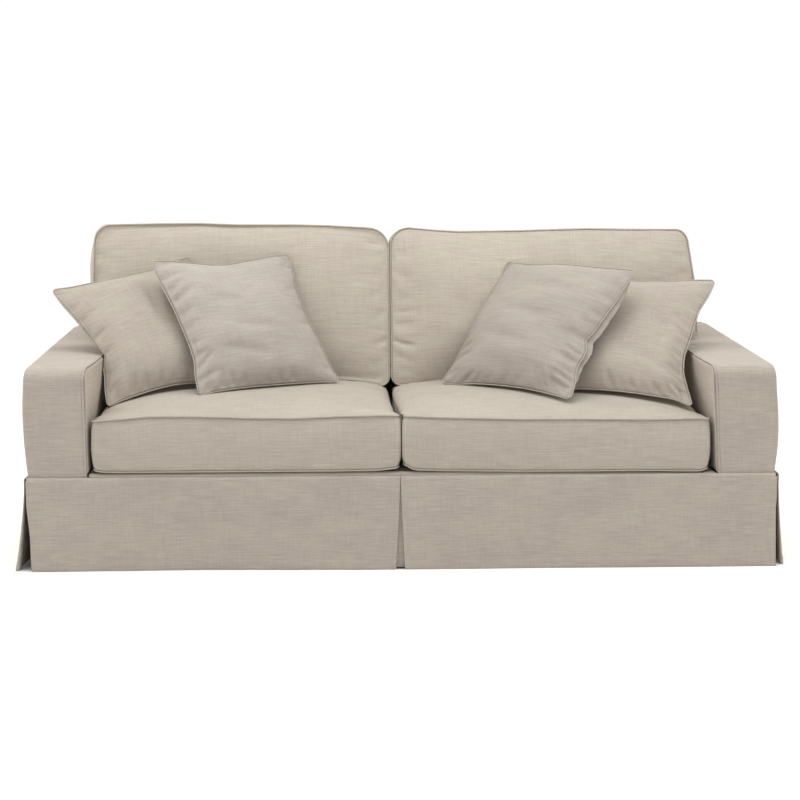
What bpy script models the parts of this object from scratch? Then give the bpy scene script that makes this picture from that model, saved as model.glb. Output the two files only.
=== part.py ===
"""Fitted slipcover for a two-cushion track-arm sofa.

The body cover is a hollow shell of flat-cut cloth panels with a skirt that hangs to the floor.
Two seat cushions and two T-shaped back cushions lie in it, each in its own boxed and welted cover,
and four knife-edge scatter cushions of the same cloth lean on them.

Units are metres.  +X is to the sitter's left, -Y is the front, +Z is up.  The floor is z = 0.
"""
import math

import bmesh
import bpy
from mathutils import Vector
from mathutils.bvhtree import BVHTree

# Cloth and sewing
CLOTH = 0.002          # thickness of one sheet of cloth
STITCH = 0.0003        # space left between two pieces that are sewn together
WELT_RADIUS = 0.003
WELT_OFFSET = 0.0036   # from a seam's edge to the middle of its welt
WELT_REACH = 0.0062    # how far a welt stands out from its seam, measured square to a face

# Body cover
ARM_FRONT_Y = -0.480
BACK_Y = 0.480
ARM_OUTER_X = 1.072
ARM_INNER_X = 0.900
ARM_TOP_Z = 0.588
ARM_FOLD_RADIUS = 0.033
ARM_FRONT_HEIGHTS = (0.262, 0.2745, 0.350, 0.420, 0.490)   # where the arm front is sampled
ARM_SWELL = 0.009         # how far the outside arm panel swells between its seams
ARM_INNER_SWELL = 0.018   # the same for the padded inside of the arm
ARM_TOP_CROWN = 0.003
ARM_STATIONS = (-0.38, -0.27, -0.14, 0.0, 0.13)   # depths at which an arm is sampled
ARM_REAR_STATIONS = (0.34, 0.43)                  # the same beside the back
REAR_CORNER_TUCK = 0.010
REAR_CORNER_LENGTH = 0.05
BODY_HEM_Z = 0.262
SKIRT_SEAM_Z = 0.2745
DECK_Z = 0.284
DECK_DROP = 0.008         # the deck sags towards its +X end
RAIL_RADIUS = 0.010
RAIL_DEPTH = 0.028        # how far back the front rail strip runs over the deck
PANEL_STATION_X = 0.45    # a wide panel is sampled at its middle, here and at its edges
INSIDE_BACK_Y = 0.195     # where the inside back panel meets the deck
INSIDE_BACK_SLOPE = 0.1744
BACK_HALF_WIDTH = 0.955
BACK_TOP_Z = 0.830
BACK_MIDDLE_Z = 0.700     # a height between the arm tops and the back's rounded corners
BACK_CORNER_RADIUS = 0.030

# Skirt
SKIRT_EDGE_X = 1.0745
SKIRT_DRIFT = 0.007       # the front skirt's hem hangs this much towards +X at its corners
SKIRT_RIPPLE = 0.0016
SIDE_SKIRT_START = 0.0008
SIDE_SKIRT_STATIONS = (-0.45, -0.39, -0.28, -0.13, 0.03, 0.19, 0.33, 0.43)
SIDE_SKIRT_WAVE = 0.002
SKIRT_FLARE_X = 1.118
SKIRT_FLARE_LENGTH = 0.10
REAR_FLARE_SHARE = 0.45
BACK_SKIRT_LAP = 0.002
PLEAT_X = -0.006
PLEAT_SPREAD = 0.0125     # how far each front panel's inner edge swings away at the hem
UNDERLAY_TOP_Z = 0.264
UNDERLAY_HEM_Z = 0.010
UNDERLAY_REACH = 0.120    # how far an underlay runs on each side of its pleat
UNDERLAY_TURN = 0.008     # radius of the turn of a corner underlay

# Seat cushions
SEAT_DEPTH = 0.655
SEAT_FRONT_Y = -0.477
SEAT_BOTTOM_Z = 0.2950
SEAT_TOP_Z = 0.4405
SEAT_CROWN = 0.036
SEAT_OUTER_X = {-1: 0.876, 1: 0.880}
SEAT_MEETING_X = -0.003
SEAT_CORNER_RADIUS = 0.034
SEAT_BELLY = 0.014        # how far the underside bulges where the deck allows it
SEAT_FRONT_SAG = 0.003
SEAT_FRONT_SWELL = 0.009
SEAT_SIDE_SWELL = 0.004

# Back cushions
BACK_CUSHION_FOOT_Y = 0.010
BACK_CUSHION_LEAN = 0.235   # run over rise of the front face
BACK_CUSHION_CROWN = 0.030
BACK_CUSHION_BELLY = 0.012
BACK_CUSHION_SWELL = 0.005
BACK_CUSHION_REAR_DROP = 0.055   # how much lower the rear seam lies, per metre above the ears
BACK_MEETING_X = -0.020
BACK_CUSHION_WIDE_X = {-1: 0.957, 1: 0.948}
BACK_CUSHION_NARROW_X = 0.876
BACK_CUSHION_CENTRE_Z = 0.715
BACK_CUSHION_TOP_RADIUS = 0.055
BACK_CUSHION_FOOT_RADIUS = 0.030
BACK_CUSHION_FOOT_GAP = 0.0092   # leaves room for the welt above the seat cushion
EAR_BOTTOM_Z = 0.603

# Scatter cushions
PILLOW_FRONT_CROWN = 0.056
PILLOW_BACK_CROWN = 0.042
PILLOW_CORNER_BLUNT = 0.03       # share by which each corner is cut back towards the middle
PILLOW_EDGE_THINNING = 0.35      # how much thinner the filling is near the corners
PILLOW_ARM_ROOM = 0.022          # between a scatter cushion and the padded arm
PILLOW_ARM_OVERHANG = 1.0        # run over rise of the part that leans out over an arm
PILLOW_REST = 0.0008             # between a scatter cushion and the seat under it


QUARTER_TURN = tuple(math.radians(angle) for angle in (0, 30, 60, 90))


def linear(hex_colour):
    """Turn an sRGB hex colour into linear red, green, blue and alpha."""
    channels = [int(hex_colour[k:k + 2], 16) / 255 for k in (1, 3, 5)]
    return [c / 12.92 if c <= 0.04045 else ((c + 0.055) / 1.055) ** 2.4 for c in channels] + [1.0]


def cloth_material(name, hex_colour):
    """A matt woven cloth in one plain colour."""
    material = bpy.data.materials.new(name)
    material.use_nodes = True
    shader = material.node_tree.nodes["Principled BSDF"]
    shader.inputs["Base Color"].default_value = linear(hex_colour)
    shader.inputs["Roughness"].default_value = 0.9
    shader.inputs["Metallic"].default_value = 0.0
    material.diffuse_color = linear(hex_colour)
    return material


def smoothstep(t):
    """Ease from 0 to 1 as t goes from 0 to 1."""
    t = min(max(t, 0.0), 1.0)
    return t * t * (3.0 - 2.0 * t)


def spread(start, end, count):
    """Evenly spaced numbers from start to end, both included."""
    return [start + (end - start) * k / (count - 1) for k in range(count)]


def add_solid(name, points, faces, hex_colour):
    """Add one closed body to the scene, with its faces pointing out."""
    mesh = bpy.data.meshes.new(name)
    mesh.from_pydata([tuple(p) for p in points], [], faces)
    body = bmesh.new()
    body.from_mesh(mesh)
    bmesh.ops.recalc_face_normals(body, faces=body.faces)
    bmesh.ops.triangulate(body, faces=body.faces, quad_method="FIXED")
    body.to_mesh(mesh)
    body.free()
    mesh.materials.append(cloth_material(name + "_cloth", hex_colour))
    solid = bpy.data.objects.new(name, mesh)
    bpy.context.scene.collection.objects.link(solid)
    return solid


# ---------------------------------------------------------------- sheets of cloth

def grid_normals(rows):
    """The unit normal at every point of a grid, from its neighbours."""
    last_row = len(rows) - 1
    last_column = len(rows[0]) - 1
    normals = []
    for i, row in enumerate(rows):
        line = []
        for j in range(len(row)):
            along = rows[i][min(j + 1, last_column)] - rows[i][max(j - 1, 0)]
            across = rows[min(i + 1, last_row)][j] - rows[max(i - 1, 0)][j]
            line.append(along.cross(across).normalized())
        normals.append(line)
    return normals


def sheet(name, rows, outward, hex_colour, is_cut=None):
    """A sheet of cloth whose outer face passes through a grid of points.

    outward is a direction on the outer side.  is_cut(i, j) is true for each cell that the
    panel's outline leaves out.
    """
    normals = grid_normals(rows)
    middle = normals[len(rows) // 2][len(rows[0]) // 2]
    side = 1.0 if middle.dot(Vector(outward)) > 0.0 else -1.0
    columns = len(rows[0])
    outer = [p for row in rows for p in row]
    inner = [p - n * CLOTH * side for row, line in zip(rows, normals) for p, n in zip(row, line)]
    for point in inner:
        point.z = max(point.z, 0.0)
    cells = [(i, j) for i in range(len(rows) - 1) for j in range(columns - 1)
             if not (is_cut and is_cut(i, j))]
    shift = len(outer)
    faces = []
    edges = {}
    for i, j in cells:
        a = i * columns + j
        corners = [a, a + 1, a + columns + 1, a + columns]
        for first, second, third in ((0, 1, 2), (0, 2, 3)):
            faces.append((corners[first], corners[second], corners[third]))
            faces.append((corners[third] + shift, corners[second] + shift, corners[first] + shift))
        for k in range(4):
            edge = (corners[k], corners[(k + 1) % 4])
            edges[frozenset(edge)] = edge if frozenset(edge) not in edges else None
    for edge in edges.values():
        if edge:
            a, b = edge
            faces.append((b, a, a + shift, b + shift))
    used = sorted({k for face in faces for k in face})
    place = {k: n for n, k in enumerate(used)}
    points = outer + inner
    return add_solid(name, [points[k] for k in used],
                     [tuple(place[k] for k in face) for face in faces], hex_colour)


def deck_z(x):
    """Height of the seat deck, which sags a little towards +X."""
    return DECK_Z - DECK_DROP * max(x, 0.0) / ARM_INNER_X


def inside_back_y(z):
    """Front face of the inside back panel at a height."""
    return INSIDE_BACK_Y + INSIDE_BACK_SLOPE * (z - DECK_Z)


def outer_arm_x(y, z):
    """Outer face of an arm, as a distance from the middle."""
    rise = min(max((z - SKIRT_SEAM_Z) / (ARM_TOP_Z - SKIRT_SEAM_Z), 0.0), 1.0)
    tuck = REAR_CORNER_TUCK * smoothstep((y - BACK_Y) / REAR_CORNER_LENGTH + 1.0)
    return ARM_OUTER_X + ARM_SWELL * math.sin(math.pi * rise) - tuck


def inner_arm_x(y, z):
    """Seat side of an arm, as a distance from the middle."""
    length = inside_back_y(ARM_TOP_Z) - ARM_FRONT_Y
    run = min(max((y - ARM_FRONT_Y) / length, 0.0), 1.0)
    height = 0.3 + 0.7 * smoothstep((z - 0.38) / 0.14)
    return ARM_INNER_X - ARM_INNER_SWELL * math.sin(math.pi * run ** 0.75) * height


def arm_fold():
    """Where the arm's front top corner is cut: distance back and height, from front to top."""
    return [(ARM_FRONT_Y + ARM_FOLD_RADIUS * (1 - math.cos(turn)),
             ARM_TOP_Z - ARM_FOLD_RADIUS * (1 - math.sin(turn))) for turn in QUARTER_TURN]


def arm_path():
    """The arm band's path: up the arm front, round the fold and back along the top."""
    path = [(ARM_FRONT_Y, z) for z in ARM_FRONT_HEIGHTS]
    path += arm_fold()
    notch_y = inside_back_y(ARM_TOP_Z) - STITCH
    rear_y = BACK_Y - CLOTH - STITCH
    return path + [(y, ARM_TOP_Z) for y in ARM_STATIONS + (notch_y,) + ARM_REAR_STATIONS + (rear_y,)]


def arm_band(name, hand):
    """One length of cloth up the front and over the top of an arm."""
    path = arm_path()
    notch_row = [y for y, z in path].index(inside_back_y(ARM_TOP_Z) - STITCH)
    hem_inset = CLOTH + STITCH
    rows = []
    for y, z in path:
        inner = inner_arm_x(y, z) + hem_inset
        outer = outer_arm_x(y, z) - hem_inset
        post = BACK_HALF_WIDTH + STITCH
        xs = [inner, (inner + post) / 2, post, (post + outer) / 2, outer]
        flat_top = z > ARM_TOP_Z - 1e-6
        crown = ARM_TOP_CROWN if flat_top and y < -0.1 else 0.0
        rows.append([Vector((hand * x, y, z + crown * math.sin(math.pi * k / 4)))
                     for k, x in enumerate(xs)])
    return sheet(name, rows, (0, -1, 1), "#C9C0AF", lambda i, j: i >= notch_row and j < 2)


def arm_outside(name, hand):
    """The outer side panel of an arm, rounded at its front top corner."""
    columns = arm_fold()
    rear_y = BACK_Y - CLOTH - STITCH
    columns += [(y, ARM_TOP_Z) for y in ARM_STATIONS + ARM_REAR_STATIONS + (rear_y,)]
    fold_z = ARM_TOP_Z - ARM_FOLD_RADIUS
    rows = []
    for height in ARM_FRONT_HEIGHTS + (fold_z,):
        share = (height - BODY_HEM_Z) / (fold_z - BODY_HEM_Z)
        row = []
        for y, top in columns:
            z = BODY_HEM_Z + (top - BODY_HEM_Z) * share
            row.append(Vector((hand * outer_arm_x(y, z), y, z)))
        rows.append(row)
    return sheet(name, rows, (hand, 0, 0), "#B9AF9F")


def arm_inside(name, hand):
    """The padded seat side panel of an arm, from the deck to the arm top."""
    columns = arm_fold() + [(y, ARM_TOP_Z) for y in ARM_STATIONS]
    low = deck_z(hand * ARM_INNER_X) + STITCH
    rows = []
    for share in spread(0.0, 1.0, 6):
        heights = [low + (top - low) * share for y, top in columns]
        row = [Vector((hand * inner_arm_x(y, z), y, z)) for (y, top), z in zip(columns, heights)]
        z = heights[-1]
        rear = inside_back_y(z) - STITCH
        row.append(Vector((hand * inner_arm_x(rear, z), rear, z)))
        rows.append(row)
    return sheet(name, rows, (-hand, 0, 0), "#BDB3A2")


def front_rail(name):
    """The narrow strip between the skirt and the deck, rolled over at its top."""
    edge = ARM_INNER_X - STITCH
    rows = []
    xs = spread(-edge, edge, 5)
    rows.append([Vector((x, ARM_FRONT_Y, BODY_HEM_Z)) for x in xs])
    for turn in QUARTER_TURN:
        y = ARM_FRONT_Y + RAIL_RADIUS * (1 - math.cos(turn))
        rows.append([Vector((x, y, deck_z(x) - RAIL_RADIUS * (1 - math.sin(turn)))) for x in xs])
    rows.append([Vector((x, ARM_FRONT_Y + RAIL_DEPTH, deck_z(x))) for x in xs])
    return sheet(name, rows, (0, -1, 0.5), "#B3A999")


def seat_deck(name):
    """The flat panel under the seat cushions."""
    edge = ARM_INNER_X - STITCH
    front = ARM_FRONT_Y + RAIL_DEPTH + STITCH
    rows = []
    for y in spread(front, INSIDE_BACK_Y + CLOTH, 4):
        rows.append([Vector((x, y, deck_z(x))) for x in spread(-edge, edge, 5)])
    return sheet(name, rows, (0, 0, 1), "#B3A999")


def back_corner(radius):
    """A top corner of the back, as distances from the middle and heights."""
    corner_x = BACK_HALF_WIDTH - BACK_CORNER_RADIUS
    corner_z = BACK_TOP_Z - BACK_CORNER_RADIUS
    return [(corner_x + radius * math.cos(turn), corner_z + radius * math.sin(turn))
            for turn in QUARTER_TURN]


def back_inside(name):
    """The leaning panel behind the back cushions, wider above the arms."""
    wide = BACK_HALF_WIDTH - CLOTH - STITCH
    narrow = ARM_INNER_X - STITCH
    notch = ARM_TOP_Z + STITCH
    outline = [(wide, DECK_Z), (wide, (DECK_Z + notch) / 2), (wide, notch), (wide, BACK_MIDDLE_Z)]
    outline += back_corner(BACK_CORNER_RADIUS - CLOTH - STITCH)
    rows = []
    for edge, height in outline:
        row = []
        for x in (-edge, -narrow, -PANEL_STATION_X, 0.0, PANEL_STATION_X, narrow, edge):
            z = deck_z(x) + CLOTH / 2 if height == DECK_Z else height
            row.append(Vector((x, inside_back_y(z), z)))
        rows.append(row)
    return sheet(name, rows, (0, -1, 0), "#B3A999", lambda i, j: i < 2 and j in (0, 5))


def back_outside(name):
    """The rear panel, full width below the arm tops and narrower above them."""
    inset = CLOTH + STITCH
    narrow = BACK_HALF_WIDTH - inset
    outline = [(narrow, z) for z in ARM_FRONT_HEIGHTS + (ARM_TOP_Z, BACK_MIDDLE_Z)]
    outline += back_corner(BACK_CORNER_RADIUS - inset)
    rows = []
    for inner, z in outline:
        edge = outer_arm_x(BACK_Y, z) - inset
        xs = (-edge, -inner, -PANEL_STATION_X, 0.0, PANEL_STATION_X, inner, edge)
        rows.append([Vector((x, BACK_Y, z)) for x in xs])
    last_wide = len(ARM_FRONT_HEIGHTS)
    return sheet(name, rows, (0, 1, 0), "#B9AF9F", lambda i, j: i >= last_wide and j in (0, 5))


def back_band(name):
    """The strip up both sides and over the top of the back."""
    path = [(-BACK_HALF_WIDTH, ARM_TOP_Z + STITCH), (-BACK_HALF_WIDTH, BACK_MIDDLE_Z)]
    path += [(-x, z) for x, z in back_corner(BACK_CORNER_RADIUS)]
    path.append((-PANEL_STATION_X, BACK_TOP_Z))
    path += [(0.0, BACK_TOP_Z)] + [(-x, z) for x, z in reversed(path)]
    rows = []
    for x, z in path:
        front = inside_back_y(z)
        rows.append([Vector((x, y, z)) for y in spread(front, BACK_Y, 3)])
    return sheet(name, rows, (0, 0, 1), "#B9AF9F")


# ---------------------------------------------------------------- skirt

# One vertical section through the skirt: how far it stands out from the body, and its height.
SKIRT_SECTION = [
    # out,    height
    (0.0008, 0.2745),
    (0.0062, 0.2738),
    (0.0095, 0.2690),
    (0.0105, 0.2500),
    (0.0130, 0.1700),
    (0.0160, 0.0850),
    (0.0200, 0.0000),
]


def skirt_fall(z):
    """0 at the skirt's seam and 1 at its hem."""
    return 1.0 - z / SKIRT_SEAM_Z


def front_skirt(name, hand):
    """One half of the front skirt, from the centre pleat to a corner."""
    rows = []
    for out, z in SKIRT_SECTION:
        row = []
        fall = skirt_fall(z)
        pleat = PLEAT_X + hand * (STITCH + PLEAT_SPREAD * fall ** 1.2)
        for share in spread(0.0, 1.0, 8):
            x = pleat + (hand * SKIRT_EDGE_X + SKIRT_DRIFT * fall - pleat) * share
            wave = 1.0 + math.sin(2.3 + 11.0 * share + 1.7 * hand)
            ripple = SKIRT_RIPPLE * wave * math.sin(math.pi * share)
            row.append(Vector((x, ARM_FRONT_Y - out + ripple * fall, z)))
        rows.append(row)
    return sheet(name, rows, (0, -1, 0), "#B3A999")


def side_skirt(name, hand):
    """A side skirt, whose corners swing out at the hem."""
    start = ARM_FRONT_Y + SIDE_SKIRT_START
    end = BACK_Y - CLOTH - STITCH
    flare = SKIRT_FLARE_X - ARM_OUTER_X - SKIRT_SECTION[-1][0]
    rows = []
    for out, z in SKIRT_SECTION:
        row = []
        fall = skirt_fall(z)
        for y in (start,) + SIDE_SKIRT_STATIONS + (end,):
            front = math.exp((start - y) / SKIRT_FLARE_LENGTH) * fall ** 1.7
            rear = REAR_FLARE_SHARE * math.exp((y - end) / SKIRT_FLARE_LENGTH) * fall ** 1.7
            wave = SIDE_SKIRT_WAVE * fall * math.sin(9.0 * y + hand) * math.sin(math.pi * (y - start))
            body = outer_arm_x(y, SKIRT_SEAM_Z)
            row.append(Vector((hand * (body + out + wave + flare * max(front, rear)), y, z)))
        rows.append(row)
    return sheet(name, rows, (hand, 0, 0), "#B3A999")


def back_skirt(name):
    """The rear skirt, in one width."""
    edge = outer_arm_x(BACK_Y, SKIRT_SEAM_Z) + BACK_SKIRT_LAP
    rows = []
    for out, z in SKIRT_SECTION:
        rows.append([Vector((edge * share, BACK_Y + out, z)) for share in spread(-1.0, 1.0, 9)])
    return sheet(name, rows, (0, 1, 0), "#B3A999")


# One vertical section through an underlay, which hangs inside the skirt.
UNDERLAY_SECTION = [
    # out,    height
    (0.0070, UNDERLAY_TOP_Z),
    (0.0080, 0.1900),
    (0.0100, 0.1000),
    (0.0120, UNDERLAY_HEM_Z),
]


def centre_underlay(name):
    """The flat insert behind the centre pleat."""
    rows = []
    for out, z in UNDERLAY_SECTION:
        xs = spread(PLEAT_X - UNDERLAY_REACH, PLEAT_X + UNDERLAY_REACH, 4)
        rows.append([Vector((x, ARM_FRONT_Y - out, z)) for x in xs])
    return sheet(name, rows, (0, -1, 0), "#A89E8F")


def corner_underlay(name, hand, end):
    """The insert that turns a corner behind two skirts.  end is -1 at the front, 1 at the rear."""
    inset = UNDERLAY_TURN * (1.0 - math.sqrt(0.5))
    rows = []
    for out, z in UNDERLAY_SECTION:
        far_y = BACK_Y + out
        corner_x = outer_arm_x(end * BACK_Y, SKIRT_SEAM_Z) + out
        turn = [(corner_x - reach, far_y) for reach in (UNDERLAY_REACH, UNDERLAY_REACH / 2)]
        turn += [(corner_x - UNDERLAY_TURN, far_y), (corner_x - inset, far_y - inset)]
        for y in (far_y - UNDERLAY_TURN, BACK_Y - REAR_CORNER_LENGTH, far_y - UNDERLAY_REACH):
            turn.append((outer_arm_x(end * y, SKIRT_SEAM_Z) + out, y))
        rows.append([Vector((hand * x, end * y, z)) for x, y in turn])
    return sheet(name, rows, (hand, end, 0), "#A89E8F")


# ---------------------------------------------------------------- cushions

def ring_faces(rings):
    """Faces of a closed body made of loops between two end points."""
    count = len(rings[1])
    starts = [0]
    for ring in rings:
        starts.append(starts[-1] + len(ring))
    faces = [(0, starts[1] + k, starts[1] + (k + 1) % count) for k in range(count)]
    for upper, lower in zip(starts[1:-3], starts[2:-2]):
        for k in range(count):
            n = (k + 1) % count
            faces.append((upper + k, lower + k, lower + n))
            faces.append((upper + k, lower + n, upper + n))
    last = starts[-3]
    end = starts[-2]
    faces += [(end, last + (k + 1) % count, last + k) for k in range(count)]
    return faces


def crown_share(share):
    """Height of a cushion's crown, from 0 at its seam to 1 in the middle."""
    return 1.0 - share ** 4


def scaled(loop, centre, share):
    """A copy of a flat loop, shrunk towards its centre."""
    return [(centre[0] + (a - centre[0]) * share, centre[1] + (b - centre[1]) * share)
            for a, b in loop]


def loop_outward(loop, k):
    """Unit vector that points out of a flat anticlockwise loop at point k."""
    before = Vector(loop[k - 1])
    after = Vector(loop[(k + 1) % len(loop)])
    along = (after - before).normalized()
    return Vector((along.y, -along.x))


CROWN_RINGS = (0.5, 0.78, 0.93)


def boxed_cushion(name, loop, centre, face, base, wall_swell, hex_colour):
    """A filled cushion with two crowned faces and a boxing strip between them.

    face(a, b, crown) and base(a, b, crown) give a point of each face, where crown is the share of
    the full crown.  wall_swell(k) is how far the boxing swells out beside point k of the loop.
    """
    upper = [Vector(face(a, b, 0.0)) for a, b in loop]
    lower = [Vector(base(a, b, 0.0)) for a, b in loop]
    rings = [[Vector(face(*centre, 1.0))]]
    rings += [[Vector(face(a, b, crown_share(s))) for a, b in scaled(loop, centre, s)]
              for s in CROWN_RINGS]
    rings.append(upper)
    for level in (0.3, 0.7):
        ring = []
        for k, (high, low) in enumerate(zip(upper, lower)):
            out = loop_outward(loop, k) * wall_swell(k)
            a, b = loop[k][0] + out.x, loop[k][1] + out.y
            ring.append(Vector(face(a, b, 0.0)).lerp(Vector(base(a, b, 0.0)), level))
        rings.append(ring)
    rings.append(lower)
    rings += [[Vector(base(a, b, crown_share(s))) for a, b in scaled(loop, centre, s)]
              for s in reversed(CROWN_RINGS)]
    rings.append([Vector(base(*centre, 1.0))])
    points = [p for ring in rings for p in ring]
    cushion = add_solid(name, points, ring_faces(rings), hex_colour)
    first = 1 + len(CROWN_RINGS) * len(loop)
    seam_face = range(first, first + len(loop))
    seam_base = range(first + 3 * len(loop), first + 4 * len(loop))
    return cushion, seam_face, seam_base


def welt(name, cushion, seam, hex_colour):
    """A round cord in bias cloth that lies along a cushion's seam."""
    mesh = cushion.data
    seam = list(seam)
    middles = [mesh.vertices[k].co + mesh.vertices[k].normal * WELT_OFFSET for k in seam]
    count = len(seam)
    sides = 5
    points = []
    for k, vertex in enumerate(seam):
        along = (middles[(k + 1) % count] - middles[k - 1]).normalized()
        out = mesh.vertices[vertex].normal
        out = (out - along * out.dot(along)).normalized()
        across = along.cross(out)
        for n in range(sides):
            turn = math.pi + 2.0 * math.pi * n / sides
            points.append(middles[k] + (out * math.cos(turn) + across * math.sin(turn)) * WELT_RADIUS)
    faces = []
    for k in range(count):
        for n in range(sides):
            a = k * sides + n
            b = k * sides + (n + 1) % sides
            c = ((k + 1) % count) * sides + (n + 1) % sides
            d = ((k + 1) % count) * sides + n
            faces.append((a, b, c))
            faces.append((a, c, d))
    return add_solid(name, points, faces, hex_colour)


def rounded_box(left, right, low, high, radius, per_side):
    """An anticlockwise loop round a box with rounded corners."""
    corners = [(right - radius, high - radius, 0), (left + radius, high - radius, 90),
               (left + radius, low + radius, 180), (right - radius, low + radius, 270)]
    loop = []
    for k, (x, y, start) in enumerate(corners):
        for angle in (0, 30, 60, 90):
            turn = math.radians(start + angle)
            loop.append((x + radius * math.cos(turn), y + radius * math.sin(turn)))
        following = corners[(k + 1) % 4]
        turn = math.radians(following[2])
        end = Vector((following[0] + radius * math.cos(turn), following[1] + radius * math.sin(turn)))
        start_point = Vector(loop[-1])
        for share in spread(0.0, 1.0, per_side + 2)[1:-1]:
            loop.append(tuple(start_point.lerp(end, share)))
    return loop


def seat_tilt(x):
    """The +X seat cushion lies a little lower at its arm end, as the deck does."""
    return -DECK_DROP * max(x, 0.0) / ARM_INNER_X


def seat_cushion(name, hand):
    """A boxed seat cushion on the deck."""
    near = SEAT_MEETING_X + hand * WELT_REACH
    left, right = sorted((near, hand * SEAT_OUTER_X[hand]))
    rear = SEAT_FRONT_Y + SEAT_DEPTH
    loop = rounded_box(left, right, SEAT_FRONT_Y, rear, SEAT_CORNER_RADIUS, 3)
    centre = ((left + right) / 2, (SEAT_FRONT_Y + rear) / 2)

    def face(x, y, crown):
        at_front = y < SEAT_FRONT_Y + SEAT_CORNER_RADIUS
        sag = SEAT_FRONT_SAG * math.sin(9.0 * x + 0.6 * hand) if at_front else 0.0
        return x, y, SEAT_TOP_Z + seat_tilt(x) + SEAT_CROWN * crown + sag * (1.0 - crown)

    def base(x, y, crown):
        floor = deck_z(x) + STITCH
        return x, y, max(SEAT_BOTTOM_Z + seat_tilt(x) - SEAT_BELLY * crown, floor)

    def swell(k):
        at_front = loop[k][1] < SEAT_FRONT_Y + CLOTH
        return SEAT_FRONT_SWELL if at_front else SEAT_SIDE_SWELL

    cushion, top, bottom = boxed_cushion(name, loop, centre, face, base, swell, "#C9C0AF")
    welt(name + "_top_welt", cushion, top, "#C0B6A6")
    welt(name + "_bottom_welt", cushion, bottom, "#C0B6A6")
    return cushion


# Heights of the back cushions' top edge, from the cushion's arm end to the meeting line.
BACK_CUSHION_TOPS = {
    # hand: (arm end, middle, meeting line)
    -1: (0.9490, 0.9430, 0.9310),
    1: (0.9270, 0.9290, 0.9230),
}


def seat_surface_z(x, y):
    """Top of the seat cushions' crown at a point of the plan."""
    hand = 1 if x > SEAT_MEETING_X else -1
    near = SEAT_MEETING_X + hand * WELT_REACH
    outer = hand * SEAT_OUTER_X[hand]
    middle_x = (near + outer) / 2
    half_x = abs(outer - near) / 2
    middle_y = SEAT_FRONT_Y + SEAT_DEPTH / 2
    share = max(abs(x - middle_x) / half_x, abs(y - middle_y) / (SEAT_DEPTH / 2))
    return SEAT_TOP_Z + seat_tilt(x) + SEAT_CROWN * crown_share(min(share, 1.0))


def back_cushion_loop(hand):
    """The T-shaped outline of a back cushion, as x and height, anticlockwise from the front."""
    meet = BACK_MEETING_X + hand * WELT_REACH
    wide = hand * BACK_CUSHION_WIDE_X[hand]
    narrow = hand * BACK_CUSHION_NARROW_X
    arm_top, middle_top, meeting_top = BACK_CUSHION_TOPS[hand]
    radius = BACK_CUSHION_TOP_RADIUS
    outline = []
    for share in (0.12, 0.30, 0.50, 0.70, 0.88):
        x = meet + (narrow - meet) * share
        outline.append((x, seat_surface_z(x, BACK_CUSHION_FOOT_Y) + BACK_CUSHION_FOOT_GAP))
    foot_z = seat_surface_z(narrow * 0.96, BACK_CUSHION_FOOT_Y) + 1.3 * BACK_CUSHION_FOOT_GAP
    outline += [(narrow - hand * 0.014, foot_z + 0.004), (narrow, foot_z + BACK_CUSHION_FOOT_RADIUS)]
    outline += [(narrow, 0.560), (narrow + hand * 0.002, EAR_BOTTOM_Z - 0.006)]
    outline += [(narrow + hand * 0.012, EAR_BOTTOM_Z), (wide - hand * 0.020, EAR_BOTTOM_Z + 0.002)]
    outline += [(wide - hand * 0.003, EAR_BOTTOM_Z + 0.020), (wide + hand * 0.004, 0.68)]
    outline += [(wide + hand * 0.002, 0.77), (wide - hand * 0.006, arm_top - radius - 0.02)]
    for turn in QUARTER_TURN[1:]:
        outline.append((wide - hand * (0.006 + radius * (1 - math.cos(turn))),
                        arm_top - radius * (1 - math.sin(turn))))
    outline += [(wide * 0.66, arm_top), (wide * 0.42, middle_top)]
    outline.append((wide * 0.2, (middle_top + meeting_top) / 2))
    for turn in reversed(QUARTER_TURN):
        outline.append((meet + hand * radius * (1 - math.cos(turn)),
                        meeting_top - radius * (1 - math.sin(turn))))
    outline += [(meet, 0.78), (meet, 0.69), (meet, 0.60), (meet, 0.525)]
    foot_z = seat_surface_z(meet + hand * 0.02, BACK_CUSHION_FOOT_Y) + 1.3 * BACK_CUSHION_FOOT_GAP
    outline += [(meet + hand * 0.004, foot_z + 0.016), (meet + hand * 0.024, foot_z + 0.002)]
    return outline if hand > 0 else list(reversed(outline))


def back_cushion(name, hand):
    """A T-shaped back cushion that leans on the inside back panel."""
    loop = back_cushion_loop(hand)
    xs = [x for x, z in loop]
    centre = ((min(xs) + max(xs)) / 2, BACK_CUSHION_CENTRE_Z)
    foot_z = SEAT_TOP_Z + SEAT_CROWN

    def face(x, z, crown):
        y = BACK_CUSHION_FOOT_Y + BACK_CUSHION_LEAN * (z - foot_z)
        return x, y - BACK_CUSHION_CROWN * crown, z + 0.2 * BACK_CUSHION_CROWN * crown

    def base(x, z, crown):
        rear_z = z - BACK_CUSHION_REAR_DROP * max(z - EAR_BOTTOM_Z, 0.0)
        rest = inside_back_y(rear_z) - STITCH
        return x, min(rest - WELT_REACH + BACK_CUSHION_BELLY * crown, rest), rear_z

    def swell(k):
        above_arm = loop[k][1] > EAR_BOTTOM_Z + BACK_CUSHION_FOOT_RADIUS
        return BACK_CUSHION_SWELL if above_arm else 0.0

    cushion, front, rear = boxed_cushion(name, loop, centre, face, base, swell, "#C4BAAA")
    welt(name + "_front_welt", cushion, front, "#BBB1A1")
    welt(name + "_rear_welt", cushion, rear, "#BBB1A1")
    return cushion


# ---------------------------------------------------------------- scatter cushions

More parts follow.
